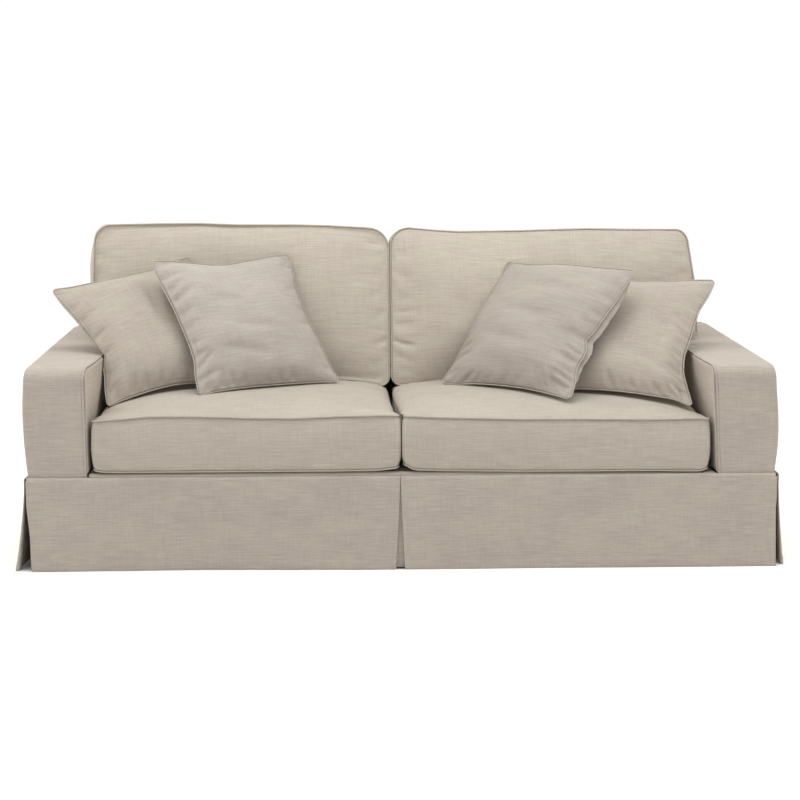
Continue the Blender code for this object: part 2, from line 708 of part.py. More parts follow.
# The corners of each scatter cushion: top left, top right, bottom right, bottom left.
PILLOW_CORNERS = {
    "pillow_rear_left": (
        (-1.046, -0.121, 0.777), (-0.644, 0.074, 0.854), (-0.469, -0.158, 0.493), (-0.858, -0.351, 0.468)),
    "pillow_front_left": (
        (-0.733, -0.102, 0.866), (-0.337, 0.074, 0.866), (-0.188, -0.105, 0.489), (-0.597, -0.297, 0.490)),
    "pillow_front_right": (
        (0.342, 0.071, 0.839), (0.700, -0.193, 0.839), (0.491, -0.384, 0.484), (0.140, -0.110, 0.485)),
    "pillow_rear_right": (
        (0.549, 0.044, 0.810), (0.963, -0.101, 0.797), (0.846, -0.397, 0.466), (0.434, -0.252, 0.490)),
}

# How far each side of a scatter cushion is drawn in between its corners.
PILLOW_DRAW_INS = {
    # name:             (top, right, bottom, left)
    "pillow_rear_left": (0.014, 0.020, 0.020, 0.046),
    "pillow_front_left": (0.016, 0.024, 0.014, 0.024),
    "pillow_front_right": (0.008, 0.020, 0.010, 0.012),
    "pillow_rear_right": (0.010, 0.040, 0.014, 0.020),
}
PILLOW_SIDE_SHARES = (0.0, 0.07, 0.22, 0.41, 0.60, 0.79, 0.93)
PILLOW_RINGS = (0.45, 0.72, 0.9)


def pillow_rim(corners, draw_ins):
    """The seam of a scatter cushion: four drawn-in sides between blunt corners."""
    corners = [Vector(c) for c in corners]
    centre = sum(corners, Vector()) / 4
    rim = []
    for k in range(4):
        start, end = corners[k], corners[(k + 1) % 4]
        inward = (centre - (start + end) / 2).normalized()
        for share in PILLOW_SIDE_SHARES:
            point = start.lerp(end, share)
            if share == 0.0:
                point = point.lerp(centre, PILLOW_CORNER_BLUNT)
            rim.append(point + inward * draw_ins[k] * math.sin(math.pi * share) ** 0.8)
    return rim, centre


def corner_share(k):
    """1 at a corner of the rim and 0 at the middle of a side."""
    share = PILLOW_SIDE_SHARES[k % len(PILLOW_SIDE_SHARES)]
    return abs(share - 0.5) * 2.0


def clear_of_arm(point):
    """Move a point of a scatter cushion in from the arm's padded side."""
    above_arm = max(point.z - ARM_TOP_Z - ARM_TOP_CROWN, 0.0)
    reach = inner_arm_x(point.y, point.z) - PILLOW_ARM_ROOM + PILLOW_ARM_OVERHANG * above_arm
    return Vector((min(max(point.x, -reach), reach), point.y, point.z))


def pillow(name, corners, draw_ins, planes):
    """A knife-edge cushion, pressed flat where it meets each plane of planes."""
    rim, centre = pillow_rim(corners, draw_ins)
    corners = [Vector(c) for c in corners]
    normal = (corners[1] - corners[3]).cross(corners[0] - corners[2]).normalized()

    def pressed(point):
        for out, distance in planes:
            point = point + out * max(distance - point.dot(out), 0.0)
        return clear_of_arm(point)

    def ring(share, crown):
        line = []
        for k, point in enumerate(rim):
            height = crown * (1.0 - share ** 2) ** 0.75
            height *= 1.0 - PILLOW_EDGE_THINNING * corner_share(k) ** 2 * share
            line.append(pressed(centre.lerp(point, share) + normal * height))
        return line

    rings = [[pressed(centre + normal * PILLOW_FRONT_CROWN)]]
    rings += [ring(share, PILLOW_FRONT_CROWN) for share in PILLOW_RINGS]
    rings.append([pressed(point) for point in rim])
    rings += [ring(share, -PILLOW_BACK_CROWN) for share in reversed(PILLOW_RINGS)]
    rings.append([pressed(centre - normal * PILLOW_BACK_CROWN)])
    points = [p for r in rings for p in r]
    cushion = add_solid(name, points, ring_faces(rings), "#C8C0B5")
    first = 1 + len(PILLOW_RINGS) * len(rim)
    edge = welt(name + "_welt", cushion, range(first, first + len(rim)), "#BDB4A8")
    return cushion, edge


def sampled(solid):
    """Points on a body's edges, for measuring how close it comes to another."""
    mesh = solid.data
    points = []
    for edge in mesh.edges:
        a, b = (mesh.vertices[k].co for k in edge.vertices)
        points += [a.lerp(b, share) for share in (0.0, 0.2, 0.4, 0.6, 0.8)]
    return points


def settle(pieces, support, clearance):
    """Lower some pieces together until they are almost on the body that carries them."""
    mesh = support.data
    tree = BVHTree.FromPolygons([v.co for v in mesh.vertices], [p.vertices for p in mesh.polygons])
    down = Vector((0.0, 0.0, -1.0))
    drops = []
    for piece in pieces:
        for point in sampled(piece):
            hit = tree.ray_cast(point - down * PILLOW_FRONT_CROWN, down)
            if hit[0] is not None:
                drops.append(point.z - hit[0].z)
    shift = min(drops) - clearance
    for piece in pieces:
        for vertex in piece.data.vertices:
            vertex.co.z -= shift


# The plane in which two scatter cushions press on each other: its normal points to the front one.
CONTACT = {
    # side: (normal, distance from the origin)
    "left": ((0.475, -0.668, 0.573), 0.182),
    "right": ((-0.597, -0.485, 0.639), 0.184),
}


def contact_planes(name):
    """The planes that a scatter cushion keeps in front of: a unit vector and a distance."""
    lean = Vector((0.0, -1.0, BACK_CUSHION_LEAN)).normalized()
    foot = Vector((0.0, BACK_CUSHION_FOOT_Y, SEAT_TOP_Z + SEAT_CROWN))
    planes = [(lean, foot.dot(lean) + BACK_CUSHION_CROWN + 2.0 * WELT_REACH)]
    normal, distance = CONTACT[name.split("_")[-1]]
    normal = Vector(normal).normalized()
    if "front" in name:
        planes.append((normal, distance + CLOTH))
    else:
        planes.append((-normal, -distance))
    return planes


def build_body_cover():
    """The fitted shell and its skirt."""
    for label, hand in (("left", -1), ("right", 1)):
        arm_band("arm_band_" + label, hand)
        arm_outside("arm_outside_" + label, hand)
        arm_inside("arm_inside_" + label, hand)
        front_skirt("skirt_front_" + label, hand)
        side_skirt("skirt_side_" + label, hand)
        corner_underlay("underlay_front_" + label, hand, -1)
        corner_underlay("underlay_rear_" + label, hand, 1)
    front_rail("front_rail")
    seat_deck("seat_deck")
    back_inside("back_inside")
    back_outside("back_outside")
    back_band("back_band")
    back_skirt("skirt_back")
    centre_underlay("underlay_centre")


def build_cushions():
    """The cushions in the order in which they are laid in."""
    seats = {}
    for label, hand in (("left", -1), ("right", 1)):
        seats[label] = seat_cushion("seat_cushion_" + label, hand)
        back_cushion("back_cushion_" + label, hand)
    for name, corners in PILLOW_CORNERS.items():
        pieces = pillow(name, corners, PILLOW_DRAW_INS[name], contact_planes(name))
        settle(pieces, seats[name.split("_")[-1]], PILLOW_REST)


for old in list(bpy.data.objects):
    bpy.data.objects.remove(old)
build_body_cover()
build_cushions()
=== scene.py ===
# %% [markdown]
# # A fitted sofa slipcover in slubby linen
# A slipcover is a loose suit of clothes for a sofa.  Flat-cut panels are sewn into a shell that drops
# over the arms, seat platform and back, and a skirt with kick pleats hides the legs.  The seat, back
# and scatter cushions wear covers of the same cloth.  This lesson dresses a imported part: every plain
# solid is replaced by a cloth piece with seams, puckers and a woven finish.

import math
import zlib

import bmesh
import bpy
import numpy as np
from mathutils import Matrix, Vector, noise


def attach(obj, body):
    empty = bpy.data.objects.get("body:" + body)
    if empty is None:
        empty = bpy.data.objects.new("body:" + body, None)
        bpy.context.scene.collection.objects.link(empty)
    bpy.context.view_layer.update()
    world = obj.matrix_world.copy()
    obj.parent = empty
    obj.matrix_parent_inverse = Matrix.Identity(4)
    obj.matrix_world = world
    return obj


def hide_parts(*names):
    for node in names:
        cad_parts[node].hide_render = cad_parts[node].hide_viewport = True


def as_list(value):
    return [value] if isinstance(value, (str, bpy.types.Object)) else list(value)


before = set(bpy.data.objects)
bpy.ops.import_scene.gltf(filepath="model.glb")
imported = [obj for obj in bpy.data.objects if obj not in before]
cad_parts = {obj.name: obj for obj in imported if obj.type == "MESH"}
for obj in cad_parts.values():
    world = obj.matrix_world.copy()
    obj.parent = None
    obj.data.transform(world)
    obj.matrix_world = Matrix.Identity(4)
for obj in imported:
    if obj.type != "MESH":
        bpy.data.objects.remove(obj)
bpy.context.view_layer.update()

# %% [markdown]
# ## Camera
# Furniture is shown from standing height with a long lens, which keeps the upright edges almost
# parallel.  The camera looks a little down and a little to the right.

# %% Camera
def new_object(name, data):
    """An object in the scene that holds a mesh, a camera or a lamp."""
    made = bpy.data.objects.new(name, data)
    bpy.context.scene.collection.objects.link(made)
    return made


camera_lens = bpy.data.cameras.new("camera")
camera_lens.sensor_width = 36.0
camera_lens.lens = 75.83
camera = new_object("camera", camera_lens)
camera.location = (-0.1683, -5.2129, 1.3464)
camera.rotation_euler = (math.radians(79.80), 0.0, math.radians(-1.95))
bpy.context.scene.camera = camera
print("camera at", tuple(round(v, 2) for v in camera.location), "lens", camera_lens.lens, "mm")

# %% [markdown]
# ## Colour
# Dye and yarn colours are written as sRGB hex, the way a colour picker shows them.  Shaders work in
# linear light, so one function turns the one into the other.

# %% Colour and node helpers
def linear(hex_colour):
    """Turn an sRGB hex colour into linear red, green, blue and alpha."""
    channels = [int(hex_colour[k:k + 2], 16) / 255 for k in (1, 3, 5)]
    return [c / 12.92 if c <= 0.04045 else ((c + 0.055) / 1.055) ** 2.4 for c in channels] + [1.0]


def add_node(tree, kind, settings=None, **links):
    """Add a node, set its properties and numbered or named inputs, and link sockets into it."""
    node = tree.nodes.new(kind)
    for key, value in (settings or {}).items():
        if isinstance(key, int) or key in node.inputs:
            node.inputs[key].default_value = value
        else:
            setattr(node, key, value)
    for key, socket in links.items():
        index = int(key[3:]) if key.startswith("in_") and key[3:].isdigit() else key.replace("_", " ")
        tree.links.new(socket, node.inputs[index])
    return node


def maths(tree, operation, first, second=None):
    """A maths node on a link and, where it takes two, a number or another link."""
    settings, links = {"operation": operation}, {"in_0": first}
    if isinstance(second, float):
        settings[1] = second
    elif second is not None:
        links["in_1"] = second
    return add_node(tree, "ShaderNodeMath", settings, **links).outputs[0]


# %% [markdown]
# ## Slubby linen
# The cloth is a plain weave of linen-look yarn.  Each weft yarn (across) thickens and thins along its
# length, which leaves soft pale and dark dashes called slubs.  Fewer slubs show in the warp (up and
# down).  The yarn is a warm beige with a pinkish grey cast, and each part of the suit is cut from a
# slightly different dye lot; but the lighter lot of the padded arm panels is painted light, and the
# darker lot of the right front scatter cushion is painted shade.  A single yarn is 0.8 mm wide, too
# fine to show from across a room, so the slubs are drawn 2 to 4 mm wide and 30 to 70 mm long.
# Long thin streaks come from noise whose coordinates are squeezed along one thread direction.  The
# coordinates are the cloth's own, in metres, so that the weave follows the cut of each panel.

# %% The woven material
SLUB_LENGTH = 0.070      # metres
SLUB_WIDTH = 0.0034
FINE_SLUB_LENGTH = 0.026
FINE_SLUB_WIDTH = 0.0022
YARN_PITCH = 0.0016      # two yarns, so that the weave shows in close views
TONE_SIZE = (0.16, 0.09)  # patches of slightly rosier yarn
GROOVE_WIDTH = 0.0034
STITCH_ROW = 0.0085      # distance of the second stitched row from a seam
STITCHES_PER_METRE = 250.0
SEAM_SHADOW = "#6A5F54"
SURFACE = {"Roughness": 0.92, "Specular IOR Level": 0.18, "Sheen Weight": 0.10, "Sheen Roughness": 0.5,
           "Sheen Tint": linear("#E8DFD2")}


def streaks(tree, coordinates, across, along, detail, seed):
    """Noise stretched into streaks: across and along are a streak's size in metres, weft and warp way."""
    scaled = add_node(tree, "ShaderNodeVectorMath", {"operation": "MULTIPLY", 1: (1 / across, 1 / along, 1)},
                      in_0=coordinates)
    moved = add_node(tree, "ShaderNodeVectorMath", {"operation": "ADD", 1: (seed, seed * 1.7, seed * 0.3)},
                     in_0=scaled.outputs[0])
    return add_node(tree, "ShaderNodeTexNoise",
                    {"noise_dimensions": "3D", "Scale": 1.0, "Detail": detail, "Roughness": 0.55},
                    Vector=moved.outputs[0]).outputs[0]


def ramp(tree, value, low, high, to_low=0.0, to_high=1.0):
    """Stretch a value from one range to another, clamped."""
    node = add_node(tree, "ShaderNodeMapRange", {1: low, 2: high, 3: to_low, 4: to_high}, in_0=value)
    return node.outputs[0]


def mixed(tree, share, first, second):
    """Mix two colours, or links to colours, by a share."""
    node = add_node(tree, "ShaderNodeMix", {"data_type": "RGBA"})
    tree.links.new(share, node.inputs["Factor"])
    for socket, colour in ((node.inputs[6], first), (node.inputs[7], second)):
        if isinstance(colour, str):
            socket.default_value = linear(colour)
        else:
            tree.links.new(colour, socket)
    return node.outputs[2]


def slub_linen(name, base, pale, dark, rosy, seed, stitch_trough_shade=0.0):
    """Plain-woven slubby linen: a matt cloth with a faint sheen from its loose fibres."""
    material = bpy.data.materials.new(name)
    material.use_nodes = True
    tree = material.node_tree
    shader = tree.nodes["Principled BSDF"]
    cloth = add_node(tree, "ShaderNodeUVMap", {"uv_map": "cloth"}).outputs[0]
    seam = add_node(tree, "ShaderNodeUVMap", {"uv_map": "seam"}).outputs[0]
    weft = streaks(tree, cloth, SLUB_LENGTH, SLUB_WIDTH, 2.0, seed)
    fine_weft = streaks(tree, cloth, FINE_SLUB_LENGTH, FINE_SLUB_WIDTH, 1.0, seed + 5.0)
    warp = streaks(tree, cloth, SLUB_WIDTH, SLUB_LENGTH * 0.9, 2.0, seed + 11.0)
    fine_warp = streaks(tree, cloth, FINE_SLUB_WIDTH, FINE_SLUB_LENGTH, 1.0, seed + 15.0)
    tone = streaks(tree, cloth, *TONE_SIZE, 2.0, seed + 19.0)

    # each row lays one kind of slub over the cloth: where it starts, where it is full, how strong it is
    colour = base
    for threads, starts, full, most, tint in (
            (tone, 0.38, 0.62, 1.0, rosy), (weft, 0.50, 0.72, 0.56, pale), (weft, 0.50, 0.30, 0.44, dark),
            (warp, 0.54, 0.76, 0.34, pale), (warp, 0.46, 0.28, 0.28, dark),
            (fine_weft, 0.48, 0.24, 0.35, dark), (fine_warp, 0.48, 0.24, 0.18, dark)):
        colour = mixed(tree, ramp(tree, threads, starts, full, 0.0, most), colour, tint)

    # the groove of a seam, 3 mm wide, is darkened with painted shade and a little dust, and beside it runs a
    # row of stitches 3 mm long and 1 mm apart, which pulls the cloth down into a trough darkened with painted
    # shade
    along_seam, from_seam = add_node(tree, "ShaderNodeSeparateXYZ", in_0=seam).outputs[:2]
    colour = mixed(tree, ramp(tree, from_seam, 0.0, GROOVE_WIDTH, 0.55, 0.0), colour, SEAM_SHADOW)
    dash = maths(tree, "FRACT", maths(tree, "MULTIPLY", along_seam, STITCHES_PER_METRE))
    from_row = maths(tree, "ABSOLUTE", maths(tree, "SUBTRACT", from_seam, STITCH_ROW))
    trough = ramp(tree, from_row, 0.0004, 0.0017, 1.0, 0.0)
    thread = maths(tree, "MULTIPLY", maths(tree, "LESS_THAN", dash, 0.75),
                   ramp(tree, from_row, 0.0002, 0.0008, 1.0, 0.0))
    # painted shade in the trough beside the stitched row
    colour = mixed(tree, maths(tree, "MULTIPLY", trough, stitch_trough_shade), colour, SEAM_SHADOW)
    tree.links.new(colour, shader.inputs["Base Color"])

    for key, value in SURFACE.items():
        shader.inputs[key].default_value = value

    # over and under: one wave for the warp yarns and one for the weft, as low bumps
    yarns = []
    for direction in ("X", "Y"):
        wave = add_node(tree, "ShaderNodeTexWave",
                        {"wave_type": "BANDS", "bands_direction": direction, "wave_profile": "SIN",
                         "Scale": 0.314 / YARN_PITCH, "Distortion": 0.4, "Detail": 1.0}, Vector=cloth)
        yarns.append(wave.outputs[1])
    normal = None
    for strength, distance, height in ((0.25, 0.0003, maths(tree, "MULTIPLY", *yarns)), (0.35, 0.0006, weft),
                                       (0.6, -0.0008, trough), (0.8, 0.0005, thread)):
        links = {"Height": height} if normal is None else {"Height": height, "Normal": normal}
        bump = add_node(tree, "ShaderNodeBump", {"Strength": strength, "Distance": distance}, **links)
        normal = bump.outputs[0]
    tree.links.new(normal, shader.inputs["Normal"])
    return material


DYE_AND_PAINTED_LIGHT_LOTS = {
    # name: base, pale, dark and rosy yarn; seed of the slubs; strength of the painted shade in the stitched
    # row's trough
    "slub_linen_body": ("#ABA197", "#B6AEA7", "#988D83", "#A79C93", 3.0, 0.32),
    # a lighter copy of the body linen: painted light on the padded arm panels, in place of the light that the
    # narrow gap beside the cushions holds back
    "slub_linen_arm_padding_painted_light": ("#B2A79B", "#BDB5AB", "#9E9287", "#AEA297", 7.0, 0.32),
    "slub_linen_skirt": ("#AAA197", "#B7AEA5", "#988C83", "#A59A92", 13.0),
    "slub_linen_seat": ("#AEA59B", "#BBB2A7", "#9D9288", "#AAA197", 23.0),
    "slub_linen_back": ("#B4AB9E", "#C1B7AD", "#A2968B", "#B2A79C", 41.0),
    "slub_linen_scatter": ("#A89E93", "#B5ACA2", "#978B80", "#A49990", 67.0),
    "slub_linen_scatter_cool": ("#AAA099", "#B5AEA7", "#998D85", "#A59C95", 83.0),
    # a darker copy of the cool linen: painted shade for the right front scatter cushion
    "slub_linen_scatter_painted_shade": ("#A39991", "#ADA69E", "#93877E", "#9E958D", 71.0),
    "bias_cut_linen_welt": ("#AAA095", "#B5AEA3", "#978B81", "#A79D92", 97.0),
}
LINEN = {name: slub_linen(name, *yarns) for name, yarns in DYE_AND_PAINTED_LIGHT_LOTS.items()}
print("cloths:", [m.name for m in bpy.data.materials])

# %% [markdown]
# ## Sizes
# These are the part's own sizes in metres, said once more, so that each cloth piece lies exactly on
# the solid that it stands for.

# %% Sizes of the shell
CLOTH = 0.002            # thickness of a panel
ROLL = 0.0026            # how far a panel turns down into its seam
ROLL_REACH = 0.008
ARM_FRONT_Y, BACK_Y = -0.480, 0.480
ARM_OUTER_X, ARM_INNER_X = 1.072, 0.900
ARM_TOP_Z, ARM_FOLD_RADIUS = 0.588, 0.033
BODY_HEM_Z, SKIRT_SEAM_Z = 0.262, 0.2745
DECK_Z, DECK_DROP = 0.284, 0.008
RAIL_RADIUS, RAIL_DEPTH = 0.010, 0.028
INSIDE_BACK_Y, INSIDE_BACK_SLOPE = 0.195, 0.1744
BACK_HALF_WIDTH, BACK_TOP_Z, BACK_CORNER_RADIUS = 0.955, 0.830, 0.030
RIGHT_FOOT_OUT = 0.010   # how much further the right arm's foot stands out at the front
ARM_SWELL, REAR_TUCK, PADDING_BULGE = 0.009, 0.010, 0.018
FRONT_LEAN, FRONT_LEAN_Z = 0.0205, 0.455     # how far the right front seam leans, and where it is upright
SIDES = (("left", -1), ("right", 1))


def smoothstep(t):
    t = np.clip(t, 0.0, 1.0)
    return t * t * (3.0 - 2.0 * t)


def deck_z(x):
    return DECK_Z - DECK_DROP * np.maximum(x, 0.0) / ARM_INNER_X


def inside_back_y(z):
    return INSIDE_BACK_Y + INSIDE_BACK_SLOPE * (z - DECK_Z)


def outer_arm_x(y, z, hand=-1):
    """Outer face of an arm, which swells between its seams and tucks in at the rear corner.

    The right arm stands out a little more at the foot of its front.
    """
    rise = np.clip((z - SKIRT_SEAM_Z) / (ARM_TOP_Z - SKIRT_SEAM_Z), 0.0, 1.0)
    swollen = ARM_OUTER_X + ARM_SWELL * np.sin(np.pi * rise)
    swollen = swollen - REAR_TUCK * smoothstep((y - BACK_Y) / 0.05 + 1.0)
    if hand < 0:
        return swollen
    foot = 1.0 - smoothstep((z - 0.33) / 0.22)
    return swollen + RIGHT_FOOT_OUT * foot * (1.0 - smoothstep((y - ARM_FRONT_Y) / 0.5))


def seam_lean(z, hand):
    """The right arm's front seam leans outwards towards its foot; the left one is upright."""
    return FRONT_LEAN * (FRONT_LEAN_Z - z) / (ARM_TOP_Z - BODY_HEM_Z) if hand > 0 else 0.0 * z


def inner_arm_x(y, z, hand):
    """Padded seat side of an arm, which bulges over the seat."""
    length = inside_back_y(ARM_TOP_Z) - ARM_FRONT_Y
    run = np.clip((y - ARM_FRONT_Y) / length, 0.0, 1.0)
    height = 0.3 + 0.7 * smoothstep((z - 0.38) / 0.14)
    lean = seam_lean(z, hand) * (1.0 - run)
    return ARM_INNER_X + lean - PADDING_BULGE * np.sin(np.pi * run ** 0.75) * height


# %% [markdown]
# ## How a panel is made
# A panel is a grid of points on its outer face.  The rows and columns are close together beside the
# seams, where cloth rolls over, and wide apart in the middle.  The grid gets a second layer 2 mm
# behind it and a rim, so it is a thin closed sheet and not a single surface.  Two sets of
# coordinates go with it: the cloth's own, in metres, for the weave, and the distance to the nearest
# seam, for the groove and the stitches.

# %% Panel helpers
NEAR_SEAM = (0.0, 0.0015, 0.0032, 0.0055, 0.0085, 0.013)


def stations(start, end, step):
    """Positions from start to end, close together near both ends."""
    length = abs(end - start)
    count = max(int((length - 2 * NEAR_SEAM[-1]) / step), 1)
    middle = np.linspace(NEAR_SEAM[-1], length - NEAR_SEAM[-1], count + 1)
    steps = np.concatenate([NEAR_SEAM[:-1], middle, [length - d for d in reversed(NEAR_SEAM[:-1])]])
    return start + np.sign(end - start) * steps


def spaced(length, step):
    """Shares of a length from 0 to 1, close together near both ends."""
    return stations(0.0, length, step) / length


def quarter(radius, steps):
    """A rounded corner that starts straight up: places along and up from its start."""
    turns = np.linspace(0, math.pi / 2, steps)
    return stack(radius * (1 - np.cos(turns)), radius * np.sin(turns))


def mirrored(places):
    """Places from the middle outwards, on both sides of it."""
    return np.concatenate([-places[..., :0:-1], places], axis=-1)


def cut_away(points, rows, count):
    """The cells of a grid that are kept when some rows lose a few cells at each end."""
    keep = np.ones((points.shape[0] - 1, points.shape[1] - 1), bool)
    keep[rows, :count] = False
    keep[rows, -count:] = False
    return keep


def stack(*parts):
    """Stretch coordinates to one grid and join them into points."""
    return np.stack(np.broadcast_arrays(*parts), axis=-1)


def lumps(points, size, seed):
    """Smooth random heights between about -1 and 1, from features of a size in metres."""
    shift = Vector((seed * 7.3, seed * 1.9, seed * 4.1))
    flat = np.asarray(points).reshape(-1, 3) / np.asarray(size)
    values = [noise.noise(Vector(p) + shift) for p in flat]
    return np.array(values).reshape(np.asarray(points).shape[:-1])


def grid_normals(points, outward):
    """Unit normals of a grid of points, turned to the outward side."""
    along = np.gradient(points, axis=1)
    across = np.gradient(points, axis=0)
    normals = np.cross(along, across)
    normals /= np.maximum(np.linalg.norm(normals, axis=2, keepdims=True), 1e-12)
    middle = normals[len(points) // 2, points.shape[1] // 2]
    return normals if middle @ np.asarray(outward, float) > 0 else -normals


def lengths(points, axis):
    """Running length along one direction of a grid, measured from the middle."""
    steps = np.linalg.norm(np.diff(points, axis=axis), axis=2)
    total = np.cumsum(steps, axis=axis)
    zero = np.zeros_like(np.take(total, [0], axis=axis))
    total = np.concatenate([zero, total], axis=axis)
    return total - np.take(total, [-1], axis=axis) / 2


def from_borders(u, v):
    """Distances to a grid's first and last column (l, r) and its first and last row (b, t)."""
    return {"l": u - u[:, :1], "r": u[:, -1:] - u, "b": v - v[:1], "t": v[-1:] - v}


def cell_corners(rows, columns):
    """The four corners of each cell of a grid, as places in the flat list of its points."""
    index = np.arange(rows * columns).reshape(rows, columns)
    return stack(index[:-1, :-1], index[:-1, 1:], index[1:, 1:], index[1:, :-1]).reshape(-1, 4)


def at_corners(first, second, cells):
    """Pairs of values of a grid's points, once for each corner of each cell."""
    return stack(first, second).reshape(-1, 2)[np.ravel(cells)]


def outline(index):
    """The border of a grid of point numbers, once round."""
    return np.concatenate([index[0, :-1], index[:-1, -1], index[-1, :0:-1], index[:0:-1, 0]])


def new_mesh(name, points, faces):
    mesh = bpy.data.meshes.new(name)
    mesh.from_pydata([tuple(map(float, p)) for p in points], [], faces)
    return mesh


def finish_mesh(name, node, slot, points, faces, uv_sets, material, subdivide=0):
    """Make a piece from points, faces and coordinates given for each corner of each face."""
    mesh = new_mesh(name, points, faces)
    for label, corners in uv_sets.items():
        layer = mesh.uv_layers.new(name=label)
        layer.data.foreach_set("uv", np.asarray(corners, np.float32).ravel())
    mesh.polygons.foreach_set("use_smooth", [True] * len(mesh.polygons))
    mesh.materials.append(material)
    body = bmesh.new()
    body.from_mesh(mesh)
    bmesh.ops.recalc_face_normals(body, faces=body.faces)
    body.to_mesh(mesh)
    body.free()
    piece = new_object(name, mesh)
    if subdivide:
        smooth = piece.modifiers.new("smooth", "SUBSURF")
        smooth.levels = subdivide
        smooth.render_levels = subdivide
    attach(piece, "root")
    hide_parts(node)
    return piece


def cloth_offset(name):
    """A fixed shift of the weave for each piece, so that no two panels show the same slubs."""
    key = zlib.crc32(name.encode())
    return np.array([(key % 997) / 50.0, (key // 997 % 991) / 50.0])


def panel(name, node, points, outward, flat, material, slot, held, sewn="lrbt", roll=None, relief=0.0,
          keep=None, rests_on=(), area=None, topstitched="lrbt"):
    """A thin closed sheet whose outer face follows a grid of points.

    sewn names the borders that are seams: l and r are the first and last column, b and t the first
    and last row.  roll gives, by name, how deep a border turns down where that isn't ROLL.  keep is
    a grid of cells that are kept, where the outline isn't a rectangle.  topstitched names the sewn
    borders that show a row of stitches; along them the seam's groove and the stitches' trough are
    darkened with painted shade.
    """
    rows, columns = points.shape[:2]
    count = rows * columns
    normals = grid_normals(points, outward)
    u, v = lengths(points, 1), lengths(points, 0)
    borders = from_borders(u, v)
    distance, sewing = np.full(u.shape, 1.0), np.full(u.shape, 1.0)
    run, turn = u.copy(), np.full(u.shape, ROLL)
    for side in sewn:
        nearer = borders[side] < distance
        run = np.where(nearer, v if side in "lr" else u, run)
        turn = np.where(nearer, (roll or {}).get(side, ROLL), turn)
        distance = np.minimum(distance, borders[side])
        if side in topstitched:
            sewing = np.minimum(sewing, borders[side])
    depth = relief - turn * np.clip(1.0 - distance / ROLL_REACH, 0.0, 1.0) ** 2
    outer = points + normals * depth[..., None]
    both = np.concatenate([outer.reshape(-1, 3), (outer - normals * CLOTH).reshape(-1, 3)])
    both[:, 2] = np.maximum(both[:, 2], 0.0)
    top = cell_corners(rows, columns)
    top = (top if keep is None else top[keep.ravel()]).tolist()
    rim = {}
    for quad in top:
        for edge in zip(quad, quad[1:] + quad[:1]):
            rim[frozenset(edge)] = None if frozenset(edge) in rim else edge
    faces = top + [[k + count for k in reversed(quad)] for quad in top]
    faces += [(b, a, a + count, b + count) for a, b in filter(None, rim.values())]
    used = np.unique(np.concatenate([np.ravel(f) for f in faces]))
    place = {int(k): n for n, k in enumerate(used)}
    corners = [k % count for face in faces for k in face]
    uv_sets = {"cloth": at_corners(u, v, corners) + cloth_offset(name),
               "seam": at_corners(run, sewing, corners)}
    piece = finish_mesh(name, node, slot, both[used], [tuple(place[k] for k in face) for face in faces],
                        uv_sets, material)
    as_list(rests_on)


def crease(points, axes, start, end, width, depth):
    """A soft trough from one place to another, measured in two of the axes."""
    flat = points[..., list(axes)]
    start, end = np.asarray(start, float), np.asarray(end, float)
    along = (end - start) / (np.linalg.norm(end - start) ** 2)
    share = (flat - start) @ along
    nearest = start + np.clip(share, 0.0, 1.0)[..., None] * (end - start)
    away = np.linalg.norm(flat - nearest, axis=-1)
    taper = np.sin(np.pi * np.clip(share, 0.03, 0.97))
    return -depth * taper * np.exp(-(away / width) ** 2)


def creases(points, axes, table):
    """Several creases: each row of the table gives start, end, width and depth."""
    return sum(crease(points, axes, *row) for row in table)


BODY_PANEL = {"material": LINEN["slub_linen_body"], "slot": "body_cloth", "held": "stretched"}
SKIRT_PANEL = {"material": LINEN["slub_linen_skirt"], "slot": "skirt_cloth", "held": "hung", "sewn": ""}
FLAT_SEAMS = dict.fromkeys("lrbt", 0.001)


# %% [markdown]
# ## The arms
# One long strip of cloth runs up the front of each arm and back over its top, softly folded at the
# corner.  A side panel closes the outside, and a padded panel closes the seat side.  All three meet
# in plain seams, pressed flat, whose edges roll down a few millimetres.  A grid whose rows follow
# the strip's path gives the fold without a bend in the mesh lines.  The foot of the right arm stands
# out a little at the front, where the cover hangs loose.

# %% Arm panels
ARM_WIDTH, ARM_SIDE_HEIGHT, ARM_PADDING_HEIGHT = 0.172, 0.326, 0.303
PADDING_REAR_Y = 0.19
BESIDE = 0.0008          # from a panel's edge to the panel that it is sewn to
ARM_CREASES = {
    # hand: start and end in x and z, width and depth, in metres, on the front
    -1: (((-1.06, 0.300), (-0.97, 0.320), 0.006, 0.0020), ((-1.05, 0.345), (-1.00, 0.337), 0.006, 0.0014),
         ((-0.93, 0.300), (-0.905, 0.345), 0.006, 0.0018), ((-0.99, 0.283), (-0.92, 0.295), 0.005, 0.0014)),
    1: (((1.06, 0.300), (0.99, 0.315), 0.006, 0.0018), ((0.93, 0.290), (0.906, 0.350), 0.006, 0.0016),
        ((1.06, 0.470), (1.02, 0.455), 0.008, 0.0012)),
}


def arm_path():
    """Places along an arm strip: up the front, round the fold and back along the top."""
    fold_z, fold_y = ARM_TOP_Z - ARM_FOLD_RADIUS, ARM_FRONT_Y + ARM_FOLD_RADIUS
    front = [(ARM_FRONT_Y, z) for z in stations(BODY_HEM_Z, fold_z, 0.014)]
    fold = [(ARM_FRONT_Y + along, fold_z + up) for along, up in quarter(ARM_FOLD_RADIUS, 9)[1:-1]]
    notch = inside_back_y(ARM_TOP_Z) - 0.0005
    top = [(y, ARM_TOP_Z) for y in stations(fold_y, notch, 0.016)]
    rear = [(y, ARM_TOP_Z) for y in np.linspace(notch, BACK_Y - CLOTH - 0.0005, 12)[1:]]
    return np.array(front + fold + top + rear), notch


